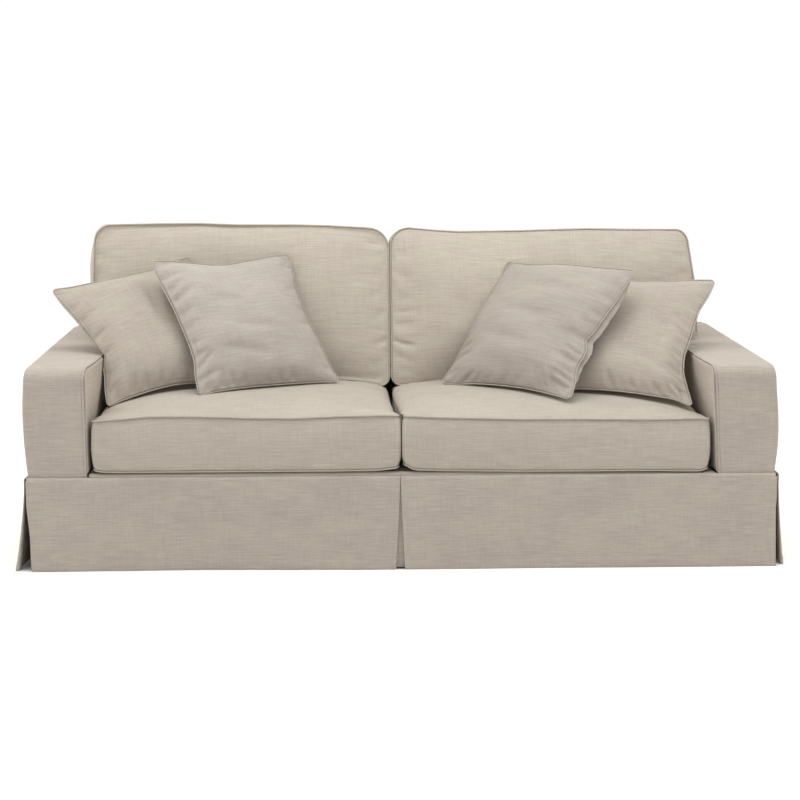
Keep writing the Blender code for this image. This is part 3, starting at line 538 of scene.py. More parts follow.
def arm_strip(label, hand):
    path, notch = arm_path()
    y, z = path[:, :1], path[:, 1:]
    inner = inner_arm_x(y, z, hand) + ROLL
    outer = outer_arm_x(y, z, hand) - ROLL
    post = BACK_HALF_WIDTH + 0.0005
    shares, post_share = spaced(ARM_WIDTH, 0.0135), (post - ARM_INNER_X) / ARM_WIDTH
    column = int(np.argmin(abs(shares - post_share)))
    shares[column] = post_share
    x = inner + (outer - inner) * shares
    x[:, column] = np.where(y[:, 0] >= notch - 0.001, post, x[:, column])
    points = stack(hand * x, y, z)
    on_top = smoothstep((y + 0.45) / 0.08) * smoothstep((0.16 - y) / 0.3)
    points[..., 2] += 0.003 * on_top * np.sin(np.pi * np.clip((x - inner) / (outer - inner), 0, 1))
    relief = 0.0011 * lumps(points, (0.11, 0.16, 0.055), 3 + hand)
    relief += creases(points, (0, 2), ARM_CREASES[hand]) * (y < -0.47)
    keep = np.ones((len(path) - 1, x.shape[1] - 1), bool)
    keep[path[:-1, 0] >= notch - 1e-6, :column] = False
    panel("arm_strip_" + label, "arm_band_" + label, points, (0, -1, 1), (0.175, 1.30), **BODY_PANEL,
          roll={"l": -0.0012}, relief=relief, keep=keep, area=0.205, topstitched="l")


def below_fold(low, rear, step, height, row_step):
    """Grid of y and z for an arm's side: its front top corner is rounded to the strip's fold."""
    radius = ARM_FOLD_RADIUS - ROLL
    fold_y, fold_z = ARM_FRONT_Y + ARM_FOLD_RADIUS, ARM_TOP_Z - ARM_FOLD_RADIUS
    tops = [(ARM_FRONT_Y + ROLL + along, fold_z + up) for along, up in quarter(radius, 9)]
    tops += [(y, ARM_TOP_Z - ROLL) for y in stations(fold_y, rear, step)[1:]]
    y, top = np.array(tops).T
    z = low + (top - low) * spaced(height, row_step)[:, None]
    return np.broadcast_to(y, z.shape), z


def arm_side(label, hand):
    """The outside panel of an arm."""
    y, z = below_fold(BODY_HEM_Z, BACK_Y - CLOTH - 0.0005, 0.022, ARM_SIDE_HEIGHT, 0.016)
    points = stack(hand * outer_arm_x(y, z, hand), y, z)
    relief = 0.0016 * lumps(points, (0.2, 0.17, 0.09), 11 + hand)
    relief += 0.0012 * lumps(points, (0.2, 0.05, 0.25), 15 + hand) * np.exp(-(z - BODY_HEM_Z) / 0.05)
    panel("arm_side_" + label, "arm_outside_" + label, points, (hand, 0, 0), (0.965, 0.335), **BODY_PANEL,
          relief=relief, topstitched="")


def arm_padding(label, hand):
    """The padded seat side of an arm, whose rear edge leans with the inside back."""
    low = float(deck_z(hand * ARM_INNER_X)) + BESIDE
    y, z = below_fold(low, PADDING_REAR_Y, 0.018, ARM_PADDING_HEIGHT, 0.015)
    ease = np.clip((y - ARM_FRONT_Y) / (PADDING_REAR_Y - ARM_FRONT_Y), 0, 1)
    y = y + (inside_back_y(z) - BESIDE - PADDING_REAR_Y) * ease ** 2
    points = stack(hand * inner_arm_x(y, z, hand), y, z)
    # the padded panel takes the lighter copy of the body linen, painted light for the shaded gap beside the
    # seat and scatter cushions
    cloth = BODY_PANEL | {"material": LINEN["slub_linen_arm_padding_painted_light"]}
    panel("arm_padding_" + label, "arm_inside_" + label, points, (-hand, 0, 0), (0.74, 0.312), **cloth,
          roll={"l": 0.0036, "t": 0.0036}, relief=0.0014 * lumps(points, (0.2, 0.09, 0.12), 21 + hand),
          topstitched="")


for label, hand in SIDES:
    arm_strip(label, hand)
    arm_side(label, hand)
    arm_padding(label, hand)
print("arm panels:", 6)

# %% [markdown]
# ## Seat platform and back
# Under the seat cushions lies a plain deck, joined at the front to a narrow rail strip.  The back is
# three pieces: the leaning inside panel, the upright outside panel and a band between them over the
# top.  They are hidden from the front but finished as plainly sewn cloth, since the cover is seen
# from all sides.

# %% Rail, deck and back panels
INSET = CLOTH + 0.0006   # the inside and outside back lie inside the band


def rail_strip():
    edge = ARM_INNER_X - BESIDE
    x = stations(-edge, edge + float(seam_lean(DECK_Z, 1)), 0.03)
    rows = [stack(x, ARM_FRONT_Y, z) for z in (BODY_HEM_Z, 0.266, 0.270)]
    low = deck_z(x) - RAIL_RADIUS
    rows += [stack(x, ARM_FRONT_Y + along, low + up) for along, up in quarter(RAIL_RADIUS, 6)]
    points = np.array(rows + [stack(x, ARM_FRONT_Y + RAIL_DEPTH, deck_z(x))])
    panel("rail_strip", "front_rail", points, (0, -1, 0.5), (1.80, 0.052), **BODY_PANEL, sewn="lr",
          relief=0.0007 * lumps(points, (0.09, 0.05, 0.03), 5))


def platform():
    edge = ARM_INNER_X - BESIDE
    x = stations(-edge, edge + float(seam_lean(DECK_Z, 1)) * 0.5, 0.05)
    y = stations(ARM_FRONT_Y + RAIL_DEPTH + BESIDE, INSIDE_BACK_Y + CLOTH, 0.05)
    panel("platform", "seat_deck", stack(x, y[:, None], deck_z(x)), (0, 0, 1), (1.80, 0.65), **BODY_PANEL,
          roll=FLAT_SEAMS)


def corner_inset(z, radius, corner):
    """How far a rounded top corner cuts in at a height."""
    rise = np.clip(z - (BACK_TOP_Z - corner), 0.0, radius)
    return radius - np.sqrt(np.maximum(radius ** 2 - rise ** 2, 0.0))


def round_top(top, radius):
    """Heights up a back panel's rounded top corner."""
    return top - radius + quarter(radius, 8)[1:, 1]


def inside_back():
    wide, narrow = BACK_HALF_WIDTH - INSET, ARM_INNER_X - BESIDE
    radius, top = BACK_CORNER_RADIUS - INSET, BACK_TOP_Z - INSET
    notch = ARM_TOP_Z + 0.0006
    low = stations(DECK_Z + 0.0012, notch, 0.03)
    z = np.concatenate([low, stations(notch, top - radius, 0.03)[1:], round_top(top, radius)])
    side = [narrow + 0.018, narrow + 0.036, wide]
    grid_x, grid_z = np.meshgrid(mirrored(np.append(stations(0.0, narrow, 0.05), side)), z)
    limit = wide - corner_inset(grid_z, radius, BACK_CORNER_RADIUS)
    over = np.clip((abs(grid_x) - narrow) / (wide - narrow), 0, 1)
    grid_x = np.sign(grid_x) * np.where(abs(grid_x) > narrow, narrow + (limit - narrow) * over, abs(grid_x))
    grid_z = np.where(grid_z <= low[0] + 1e-9, deck_z(grid_x) + 0.0012, grid_z)
    points = stack(grid_x, inside_back_y(grid_z), grid_z)
    panel("inside_back", "back_inside", points, (0, -1, 0), (1.91, 0.56), **BODY_PANEL, roll=FLAT_SEAMS,
          relief=0.0015 * lumps(points, (0.2, 0.2, 0.15), 31), area=1.035,
          keep=cut_away(points, slice(len(low) - 1), len(side)))


def outside_back():
    narrow = BACK_HALF_WIDTH - INSET
    radius, top = BACK_CORNER_RADIUS - INSET, BACK_TOP_Z - INSET
    low = stations(BODY_HEM_Z, ARM_TOP_Z - 0.0006, 0.025)
    z = np.concatenate([low, stations(ARM_TOP_Z, top - radius, 0.025), round_top(top, radius)])
    limit = narrow - corner_inset(z, radius, BACK_CORNER_RADIUS)[:, None]
    edge = outer_arm_x(BACK_Y, np.minimum(z, ARM_TOP_Z))[:, None] - INSET
    inner, share = stations(0.0, narrow, 0.04) * limit / narrow, np.linspace(0, 1, 7)[1:]
    points = stack(mirrored(np.hstack([inner, limit + (edge - limit) * share])), BACK_Y, z[:, None])
    slack = 0.0020 * lumps(points, (0.35, 1.0, 0.16), 35) + 0.0012 * lumps(points, (0.10, 1.0, 0.30), 36)
    panel("outside_back", "back_outside", points, (0, 1, 0), (2.15, 0.57), **BODY_PANEL,
          relief=np.minimum(slack, 0.002), area=1.17,
          keep=cut_away(points, slice(len(low) - 1, None), len(share)))


def back_band():
    radius, notch = BACK_CORNER_RADIUS, ARM_TOP_Z + 0.0006
    corner_x, corner_z = BACK_HALF_WIDTH - radius, BACK_TOP_Z - radius
    side = [(-BACK_HALF_WIDTH, z) for z in stations(notch, corner_z, 0.03)[:-1]]
    side += [(along - BACK_HALF_WIDTH, corner_z + up) for along, up in quarter(radius, 9)]
    top = [(x, BACK_TOP_Z) for x in np.linspace(-corner_x, corner_x, 60)[1:-1]]
    path = np.array(side + top + [(-x, z) for x, z in reversed(side)])
    x, z = path[:, :1], path[:, 1:]
    front = inside_back_y(z)
    points = stack(x, front + (BACK_Y - front) * spaced(0.19, 0.018), z)
    panel("back_band_cloth", "back_band", points, (0, 0, 1), (0.235, 2.37), **BODY_PANEL,
          relief=0.0012 * lumps(points, (0.12, 0.10, 0.10), 39), area=0.46)


rail_strip()
platform()
inside_back()
outside_back()
back_band()
print("platform and back panels:", 5)

# %% [markdown]
# ## The skirt
# The skirt is four straight panels, seamed to the shell under a rolled edge and hemmed at the floor.
# It opens in an inverted pleat in the middle of the front and in a kick pleat at each corner, where
# the side panels swing out.  Behind each pleat hangs an insert of the same cloth.  The panels are
# grids again, with a section that starts in the roll and stands 20 mm out at the hem.  The left front
# panel hangs a little further back in its middle than at its ends.

# %% Skirt panels
SKIRT_EDGE_X, SKIRT_DRIFT, SKIRT_FLARE_X = 1.0745, 0.007, 1.118
PLEAT_X, PLEAT_SPREAD = -0.006, 0.0125
SKIRT_ROLL_Z = 0.2655    # where the rolled edge ends and the skirt falls
SKIRT_OUT, HEM_OUT = 0.0105, 0.020           # how far the skirt stands out there and at its hem
HEM_DEPTH = 0.030
HEM_SWING = {
    # hand: places along x, and how far the front panel's hem hangs back from its flare there
    -1: ((-1.10, -0.80, -0.57, -0.40, -0.29, -0.14), (0.008, 0.011, 0.014, 0.010, 0.004, 0.0)),
    1: ((0.0, 1.10), (0.0, 0.0)),
}
LIP_WIDTH, LIP_RADIUS = 0.009, 0.0045        # how wide the side panel's turned edge opens, and its bend


def skirt_section():
    """The skirt from seam to hem, as columns: distance out, height, and share of the way down."""
    turns = np.linspace(0, math.pi / 2, 6)
    roll = [(BESIDE + (SKIRT_OUT - BESIDE) * math.sin(a),
             SKIRT_ROLL_Z + (SKIRT_SEAM_Z - SKIRT_ROLL_Z) * math.cos(a)) for a in turns]
    fall = [(SKIRT_OUT + (HEM_OUT - SKIRT_OUT) * (1 - z / SKIRT_ROLL_Z) ** 0.9, z) for z in
            (0.257, 0.245, 0.23, 0.212, 0.192, 0.17, 0.148, 0.126, 0.104, 0.082, 0.062, 0.046, 0.036,
             HEM_DEPTH, 0.027, 0.018, 0.009, 0.0035, 0.0)]
    section = np.array(roll + fall)
    return section[:, :1], section[:, 1:], 1.0 - section[:, 1:] / SKIRT_SEAM_Z


def hem_relief(z):
    """The turned-up hem stands a little proud of the stitching that holds it."""
    line = np.exp(-((z - HEM_DEPTH) / 0.0025) ** 2)
    return 0.0006 * smoothstep((HEM_DEPTH - z) / 0.004) - 0.0007 * line


def front_skirt(label, hand):
    out, z, fall = skirt_section()
    pleat = PLEAT_X + hand * (0.0004 + PLEAT_SPREAD * fall ** 1.2)
    edge = hand * SKIRT_EDGE_X + SKIRT_DRIFT * fall + (0.7 * RIGHT_FOOT_OUT if hand > 0 else 0.0)
    share = spaced(1.075, 0.016)
    x = pleat + (edge - pleat) * share
    ripple = 0.0016 * (1.0 + np.sin(2.3 + 11.0 * share + 1.7 * hand)) * np.sin(np.pi * share)
    y = ARM_FRONT_Y - out + ripple * fall + np.interp(x, *HEM_SWING[hand]) * fall ** 1.5
    points = stack(x, y, z)
    relief = hem_relief(z) + 0.0016 * lumps(points, (0.13, 1.0, 0.5), 51 + hand) * fall
    relief += 0.0006 * lumps(points, (0.05, 1.0, 0.04), 55 + hand) * (1 - fall)
    panel("skirt_front_panel_" + label, "skirt_front_" + label, points, (0, -1, 0), (1.085, 0.287),
          **SKIRT_PANEL, relief=np.minimum(relief, ripple * fall + 0.0002),
          rests_on=["arm_strip_" + label, "rail_strip"])


def side_skirt(label, hand):
    """A side panel: its front edge is folded back on itself, as one lip of the kick pleat."""
    out, z, fall = skirt_section()
    start, end = ARM_FRONT_Y + BESIDE, BACK_Y - INSET
    turns = np.linspace(math.pi, 0, 9)
    lip = [(start + LIP_RADIUS * (1 - math.sin(a)), LIP_RADIUS * (1 + math.cos(a))) for a in turns]
    inside = [(start + LIP_RADIUS + d, 0.0) for d in (0.018, 0.012, 0.005)]
    outside = [(y, 2 * LIP_RADIUS) for y in stations(start + LIP_RADIUS, end, 0.018)[1:]]
    y, layer = np.array(inside + lip + outside).T
    flare = SKIRT_FLARE_X - ARM_OUTER_X - HEM_OUT - (RIGHT_FOOT_OUT if hand > 0 else 0.0)
    front = np.exp((start - y) / 0.10) * fall ** 1.7
    rear = 0.45 * np.exp((y - end) / 0.10) * fall ** 1.7
    wave = 0.002 * fall * np.sin(9.0 * y + hand) * np.sin(np.pi * (y - start))
    x = outer_arm_x(y, SKIRT_SEAM_Z, hand) + out + wave + flare * np.maximum(front, rear)
    x = x + (layer - 2 * LIP_RADIUS) / (2 * LIP_RADIUS) * LIP_WIDTH * np.maximum(fall, 0.0) ** 0.6
    points = stack(hand * x, y, z)
    panel("skirt_side_panel_" + label, "skirt_side_" + label, points, (hand, 0, 0), (1.02, 0.29),
          **SKIRT_PANEL, relief=hem_relief(z) + 0.0014 * lumps(points, (1.0, 0.16, 0.4), 61 + hand) * fall,
          rests_on=["arm_side_" + label])


def rear_skirt():
    out, z, fall = skirt_section()
    edge = float(outer_arm_x(BACK_Y, SKIRT_SEAM_Z)) + 0.002
    points = stack(stations(-edge, edge, 0.025), BACK_Y + out, z)
    relief = hem_relief(z) + 0.0016 * lumps(points, (0.14, 1.0, 0.5), 71) * fall
    panel("skirt_rear_panel", "skirt_back", points, (0, 1, 0), (2.13, 0.287), **SKIRT_PANEL,
          relief=np.minimum(relief, 0.0004), rests_on=["outside_back"])


INSERT_REACH, INSERT_BEND = 0.12, 0.008      # half an insert's width, and the radius of its bend
INSERT_HEIGHTS = (0.264, 0.250, 0.19, 0.10, 0.035, 0.0045)
CENTRE_OUT = (0.0070, 0.0072, 0.0080, 0.0100, 0.0114, 0.0120)
CORNER_OUT = (0.0070, 0.00702, 0.0071, 0.0013, 0.00144, 0.0015)     # tucked in under the open pleat


def insert_strip(name, node, outs, turn, rests_on):
    """An insert behind a pleat.  turn(out) gives its plan as places."""
    points = np.array([[(x, y, z) for x, y in turn(out)] for out, z in zip(outs, INSERT_HEIGHTS)])
    outward = points[-1, points.shape[1] // 2] * (1, 1, 0)
    panel(name, node, points, outward, (0.26, 0.26), **SKIRT_PANEL, rests_on=[rests_on])


def centre_turn(out):
    return [(x, ARM_FRONT_Y - out) for x in np.linspace(PLEAT_X - INSERT_REACH, PLEAT_X + INSERT_REACH, 9)]


def corner_turn(hand, end):
    """The plan of a corner insert: along the front or back, round the corner and along the side."""
    def turn(out):
        far_y = BACK_Y + out
        corner_x = float(outer_arm_x(end * BACK_Y, SKIRT_SEAM_Z, hand)) + out
        plan = [(corner_x - reach, far_y) for reach in np.linspace(INSERT_REACH, INSERT_BEND, 7)]
        plan += [(corner_x - INSERT_BEND + up, far_y - along) for along, up in quarter(INSERT_BEND, 5)[1:-1]]
        plan += [(float(outer_arm_x(end * y, SKIRT_SEAM_Z, hand)) + out, y)
                 for y in far_y - np.linspace(INSERT_BEND, INSERT_REACH, 7)]
        return [(hand * x, end * y) for x, y in plan]
    return turn


for label, hand in SIDES:
    front_skirt(label, hand)
    side_skirt(label, hand)
    for place, end in (("front_", -1), ("rear_", 1)):
        insert_strip("insert_" + place + label, "underlay_" + place + label, CORNER_OUT,
                     corner_turn(hand, end), "arm_side_" + label)
rear_skirt()
insert_strip("insert_centre", "underlay_centre", CENTRE_OUT, centre_turn, "rail_strip")
print("skirt panels and inserts:", 10)

# %% [markdown]
# ## Filling a cover
# A stuffed cover takes its shape from two things: the pressure of the filling and the seams, which
# are shorter than the cloth between them.  The cloth simulation works that out.  The seams are
# pinned, the flat pattern is made a little larger than the start shape, pressure pushes outwards, and
# the spare cloth buckles into the short puckers that every cushion has beside its welt.  How far a
# point may move is capped, so that each cushion keeps its size and its neighbours' room.

# %% Cloth simulation
CLOTH_SETTINGS = {
    "quality": 5, "mass": 0.25, "air_damping": 3.0, "use_pressure": True, "vertex_group_mass": "seam",
    "tension_stiffness": 12.0, "compression_stiffness": 8.0, "shear_stiffness": 4.0,
}


def filled(points, faces, pinned, pattern, pressure, cap, frames, bending=0.05):
    """Run a pressurised cloth from points towards a larger flat pattern, and return the result."""
    mesh = new_mesh("filling", points, faces)
    bag = new_object("filling", mesh)
    bag.shape_key_add(name="start")
    cut = bag.shape_key_add(name="pattern")
    cut.data.foreach_set("co", np.asarray(pattern, np.float32).ravel())
    group = bag.vertex_groups.new(name="seam")
    group.add([int(k) for k in pinned], 1.0, "REPLACE")
    sim = bag.modifiers.new("filling", "CLOTH")
    settings = sim.settings
    for key, value in CLOTH_SETTINGS.items():
        setattr(settings, key, value)
    settings.bending_stiffness = bending
    settings.uniform_pressure_force = pressure
    settings.effector_weights.gravity = 0.0
    settings.rest_shape_key = cut
    sim.collision_settings.use_collision = False
    sim.point_cache.frame_start = 1
    sim.point_cache.frame_end = frames
    scene = bpy.context.scene
    for step in range(1, frames + 1):
        scene.frame_set(step)
    shape = bag.evaluated_get(bpy.context.evaluated_depsgraph_get()).to_mesh()
    moved = np.empty(len(shape.vertices) * 3, np.float32)
    shape.vertices.foreach_get("co", moved)
    moved = moved.reshape(-1, 3).astype(float)
    scene.frame_set(1)
    bpy.data.objects.remove(bag)
    bpy.data.meshes.remove(mesh)
    step = moved - points
    far = np.linalg.norm(step, axis=1, keepdims=True)
    return points + step * np.minimum(1.0, cap / np.maximum(far, 1e-9))


def vertex_normals(points, faces):
    """Area-weighted outward normals at the points of a closed mesh of quads."""
    quads = np.array(faces)
    normal = np.cross(points[quads[:, 2]] - points[quads[:, 0]], points[quads[:, 3]] - points[quads[:, 1]])
    total = np.zeros_like(points)
    for k in range(4):
        np.add.at(total, quads[:, k], normal)
    if np.sum(total * (points - points.mean(axis=0))) < 0:
        total = -total
    return total / np.maximum(np.linalg.norm(total, axis=1, keepdims=True), 1e-12)


def puckers(run, distance, spacing, reach, seed):
    """Short gathers square to a seam: strong beside it and gone a hand's width away.

    Cloth gathers into narrow troughs with broad backs between them, so the random wave is given a
    sharp trough wherever it passes nought.
    """
    wave = lumps(stack(run / spacing, distance / (reach * 2.5), 0.0), (1, 1, 1), seed)
    return (0.5 * wave + 0.35 - 0.9 * np.exp(-(wave / 0.16) ** 2)) * np.exp(-distance / reach)


def once_round(path):
    """Running length along a closed path, with the whole length at the end."""
    steps = np.linalg.norm(np.roll(path, -1, axis=0) - path, axis=1)
    return np.concatenate([[0.0], np.cumsum(steps)])


def welt_cord(name, path, outward, node, radius=0.0024, lift=0.0016):
    """A cord in bias-cut cloth that lies along a closed seam."""
    count, sides = len(path), 10
    middle = path + outward * lift
    along = np.roll(middle, -1, axis=0) - np.roll(middle, 1, axis=0)
    along /= np.linalg.norm(along, axis=1, keepdims=True)
    out = outward - along * np.sum(outward * along, axis=1, keepdims=True)
    out /= np.maximum(np.linalg.norm(out, axis=1, keepdims=True), 1e-9)
    across = np.cross(along, out)
    thick = radius * (1.0 + 0.07 * lumps(middle, (0.02, 0.02, 0.02), 7))[:, None]
    rings = [middle + thick * (out * math.cos(a) + across * math.sin(a))
             for a in np.linspace(0, 2 * math.pi, sides, endpoint=False)]
    points = np.stack(rings, axis=1).reshape(-1, 3)
    run = once_round(middle)
    index = np.pad(np.arange(count * sides).reshape(count, sides), ((0, 1), (0, 1)), mode="wrap")
    cells = cell_corners(*index.shape)
    corners = at_corners(run[:, None], 0.002 * np.arange(sides + 1), cells)
    bias = corners @ np.array([[0.7, 0.7], [-0.7, 0.7]]) + cloth_offset(name)
    no_seam = stack(corners[:, 0], 0.1)
    finish_mesh(name, node, "welt_cloth", points, index.ravel()[cells].tolist(),
                {"cloth": bias, "seam": no_seam}, LINEN["bias_cut_linen_welt"])


# %% [markdown]
# ## Boxed cushions
# A boxed cushion is two shaped faces joined by a boxing strip, with a welt in each seam.  The faces
# are grids that follow the rounded outline, so the seams are exact edges of the mesh and the welts
# sit in them, whatever the filling does between.

# %% Boxed cushion builder
BOXING_START = 3.1               # the boxing is cut from another length of the cloth
BOXED_FRAMES = 18


def boxed(name, node, face, base, boxing_rows, swell, clamp, cloth_kind, seams, sim, relief):
    """Build a boxed cushion from two grids with the same outline.

    face and base are grids of points, swell(point) is how far the boxing strip stands out, clamp
    keeps the finished points out of the neighbours, cloth_kind is its linen and a slot name, which
    is not used, seams names its two seams, sim gives the spare cloth, the pressure and the furthest
    move, and relief(points, run, near) gives the height of puckers and creases at each point.
    """
    rows, columns = face.shape[:2]
    count = rows * columns
    border = outline(np.arange(count).reshape(rows, columns))
    perimeter = len(border)
    flat_face, flat_base = face.reshape(-1, 3), base.reshape(-1, 3)
    upper, lower = flat_face[border], flat_base[border]
    centre = upper.mean(axis=0)
    tangent = np.roll(upper, -1, axis=0) - np.roll(upper, 1, axis=0)
    axis = (lower - upper).mean(axis=0)
    depth = np.linalg.norm(axis)
    out = np.cross(tangent, axis)
    out /= np.linalg.norm(out, axis=1, keepdims=True)
    if np.sum((upper - centre) * out) < 0:
        out = -out
    levels = np.linspace(0, 1, boxing_rows + 1)[1:-1]
    strip = np.array([upper + (lower - upper) * t + out * swell(upper)[:, None] * math.sin(math.pi * t) ** 0.6
                      for t in levels])
    points = np.concatenate([flat_face, flat_base, strip.reshape(-1, 3)])

    # the two faces, then the boxing between them, ring by ring
    u, v = lengths(face, 1), lengths(face, 0)
    distance = np.minimum.reduce(list(from_borders(u, v).values()))
    quads = cell_corners(rows, columns)
    order = np.concatenate([quads, quads[:, ::-1]])
    edge_run = once_round(upper)
    between = 2 * count + np.arange(perimeter * len(levels)).reshape(-1, perimeter)
    rings = np.pad(np.vstack([border, between, border + count]), ((0, 0), (0, 1)), mode="wrap")
    cells = cell_corners(*rings.shape)[:, [1, 0, 3, 2]]
    faces = np.concatenate([quads, quads[:, ::-1] + count, rings.ravel()[cells]]).tolist()
    level = depth * np.concatenate([[0.0], levels, [1.0]])[:, None]
    cloth = np.concatenate([at_corners(u, v, order), at_corners(edge_run + BOXING_START, level, cells)])
    seam = np.concatenate([at_corners(u + v, distance, order),
                           at_corners(edge_run, np.minimum(level, depth - level), cells)])

    spare, pressure, cap = sim
    pattern = centre + (points - centre) * (1.0 + spare)
    pinned = np.concatenate([border, border + count])
    result = filled(points, faces, pinned, pattern, pressure, cap, BOXED_FRAMES)
    normals = vertex_normals(result, faces)
    near = [distance.ravel()] * 2 + [min(t, 1 - t) * depth * np.ones(perimeter) for t in levels]
    run = np.concatenate([(u + v).ravel()] * 2 + [edge_run[:-1]] * len(levels))
    near = np.concatenate(near)
    height = relief(result, run, near) * np.clip(near / 0.010, 0, 1)
    result = clamp(result + normals * height[:, None])
    linen, slot = cloth_kind
    piece = finish_mesh(name, node, slot, result, faces, {"cloth": cloth + cloth_offset(name), "seam": seam},
                        LINEN[linen], subdivide=1)
    for side, ring in zip(seams, (border, border + count)):
        welt_cord(name + "_" + side + "_cord", result[ring], normals[ring], node + "_" + side + "_welt")


def on_own_side(x, middle, hand):
    """Keep places along x on one cushion's side of the meeting line."""
    return np.maximum(x, middle) if hand > 0 else np.minimum(x, middle)


# %% [markdown]
# ## Seat cushions
# Two deep seat cushions, filled with foam: flat fronts, crowned tops with soft shoulders at the
# sides, and rounded corners.  The right one lies a few millimetres lower at its arm end.  The line
# where the two meet drifts to the left towards the back, and the boxing bulges out beside the arms.
# A welt never runs quite level, so the heights of the front seams are given at a few places.  The
# right cushion's cover is tight at its arm end, where the boxing gathers into small scallops.

# %% Seat cushions
SEAT_FRONT_Y, SEAT_DEPTH, SEAT_MEETING_X = -0.477, 0.655, -0.003
SEAT_BOTTOM_Z, SEAT_TOP_Z, SEAT_CROWN, SEAT_CORNER = 0.2930, 0.4405, 0.036, 0.015
SEAT_SIDE_DROP = 0.030           # the side seams lie lower than the front seam
SEAT_GAP = 0.0085                # from the middle to a side seam, which the cushion bulges over
SEAT_DRIFT = 0.015               # the seats meet further to the left at the back
WELT_REACH = 0.0062              # how far a welt stands out from its seam
SEAT_FRONT_LIMIT_Y = -0.4905
SHOULDER_LEAN = ((0.0, 0.0135, 0.027, 0.0405, 0.054, 0.12), (0.0, 0.020, 0.0255, 0.023, 0.0185, 0.0))
SEAT_OUTER_X = {-1: 0.884, 1: 0.885}
SEAT_FILLING = (0.012, 3.0, 0.006)           # spare cloth as a share, pressure, furthest move in metres
FRONT_SEAMS = {
    # hand: places along x; rise of the top seam in mm; rise of the bottom seam in mm
    -1: ((-0.89, -0.86, -0.80, -0.72, -0.58, -0.43, -0.32, -0.18, -0.07, -0.02, 0.0),
         (-6, -2, 2, 9, 8, 3, 1, 6, 8, 7, 3),
         (4, -3, -4, -4, -4, -4, -4, -4, -3, 3, 10)),
    1: ((0.0, 0.012, 0.035, 0.11, 0.35, 0.50, 0.71, 0.80, 0.86, 0.89),
        (2, 5, 5, 2, -2, -1, -2, 0, 2, -2),
        (16, 10, -2, -4, -6, -5, -3, -4, -4, 4)),
}


def meeting_drift(y):
    """How far the meeting line of the seats lies to the left of its front end."""
    return SEAT_DRIFT * smoothstep((y - SEAT_FRONT_Y) / 0.40)


def seat_tilt(x):
    return -DECK_DROP * np.maximum(x, 0.0) / ARM_INNER_X


def rounded_plan(left, right, low, high, radius, x, y):
    """Bend a rectangular grid so that its border follows rounded corners."""
    grid_x, grid_y = np.meshgrid(x, y)
    away_x, away_y = grid_x - (left + right) / 2, grid_y - (low + high) / 2
    half_x, half_y = (right - left) / 2, (high - low) / 2
    p = np.clip((abs(away_x) - half_x + radius) / radius, 0, 1)
    q = np.clip((abs(away_y) - half_y + radius) / radius, 0, 1)
    moved_x = p * (np.sqrt(1 - q ** 2 / 2) - 1) * radius
    moved_y = q * (np.sqrt(1 - p ** 2 / 2) - 1) * radius
    return (grid_x + np.sign(away_x) * moved_x, grid_y + np.sign(away_y) * moved_y,
            away_x / half_x, away_y / half_y)


def seat_top(x, y, s, t, hand):
    """Top face: it rises steeply from the low side seams and gently from the front seam."""
    places, top_rise, _ = FRONT_SEAMS[hand]
    back_off = y - SEAT_FRONT_Y
    front = np.interp(x, places, np.array(top_rise) / 1000) * smoothstep((0.16 - back_off) / 0.16)
    level = SEAT_TOP_Z + seat_tilt(x)
    seam = level + front - SEAT_SIDE_DROP * smoothstep((back_off - 0.012) / 0.10)
    profile = np.clip(1 - abs(s) ** 4, 0, 1) ** 0.45 * np.clip(1 - abs(t) ** 3.2, 0, 1) ** 0.85
    return seam + (level + SEAT_CROWN - seam) * profile


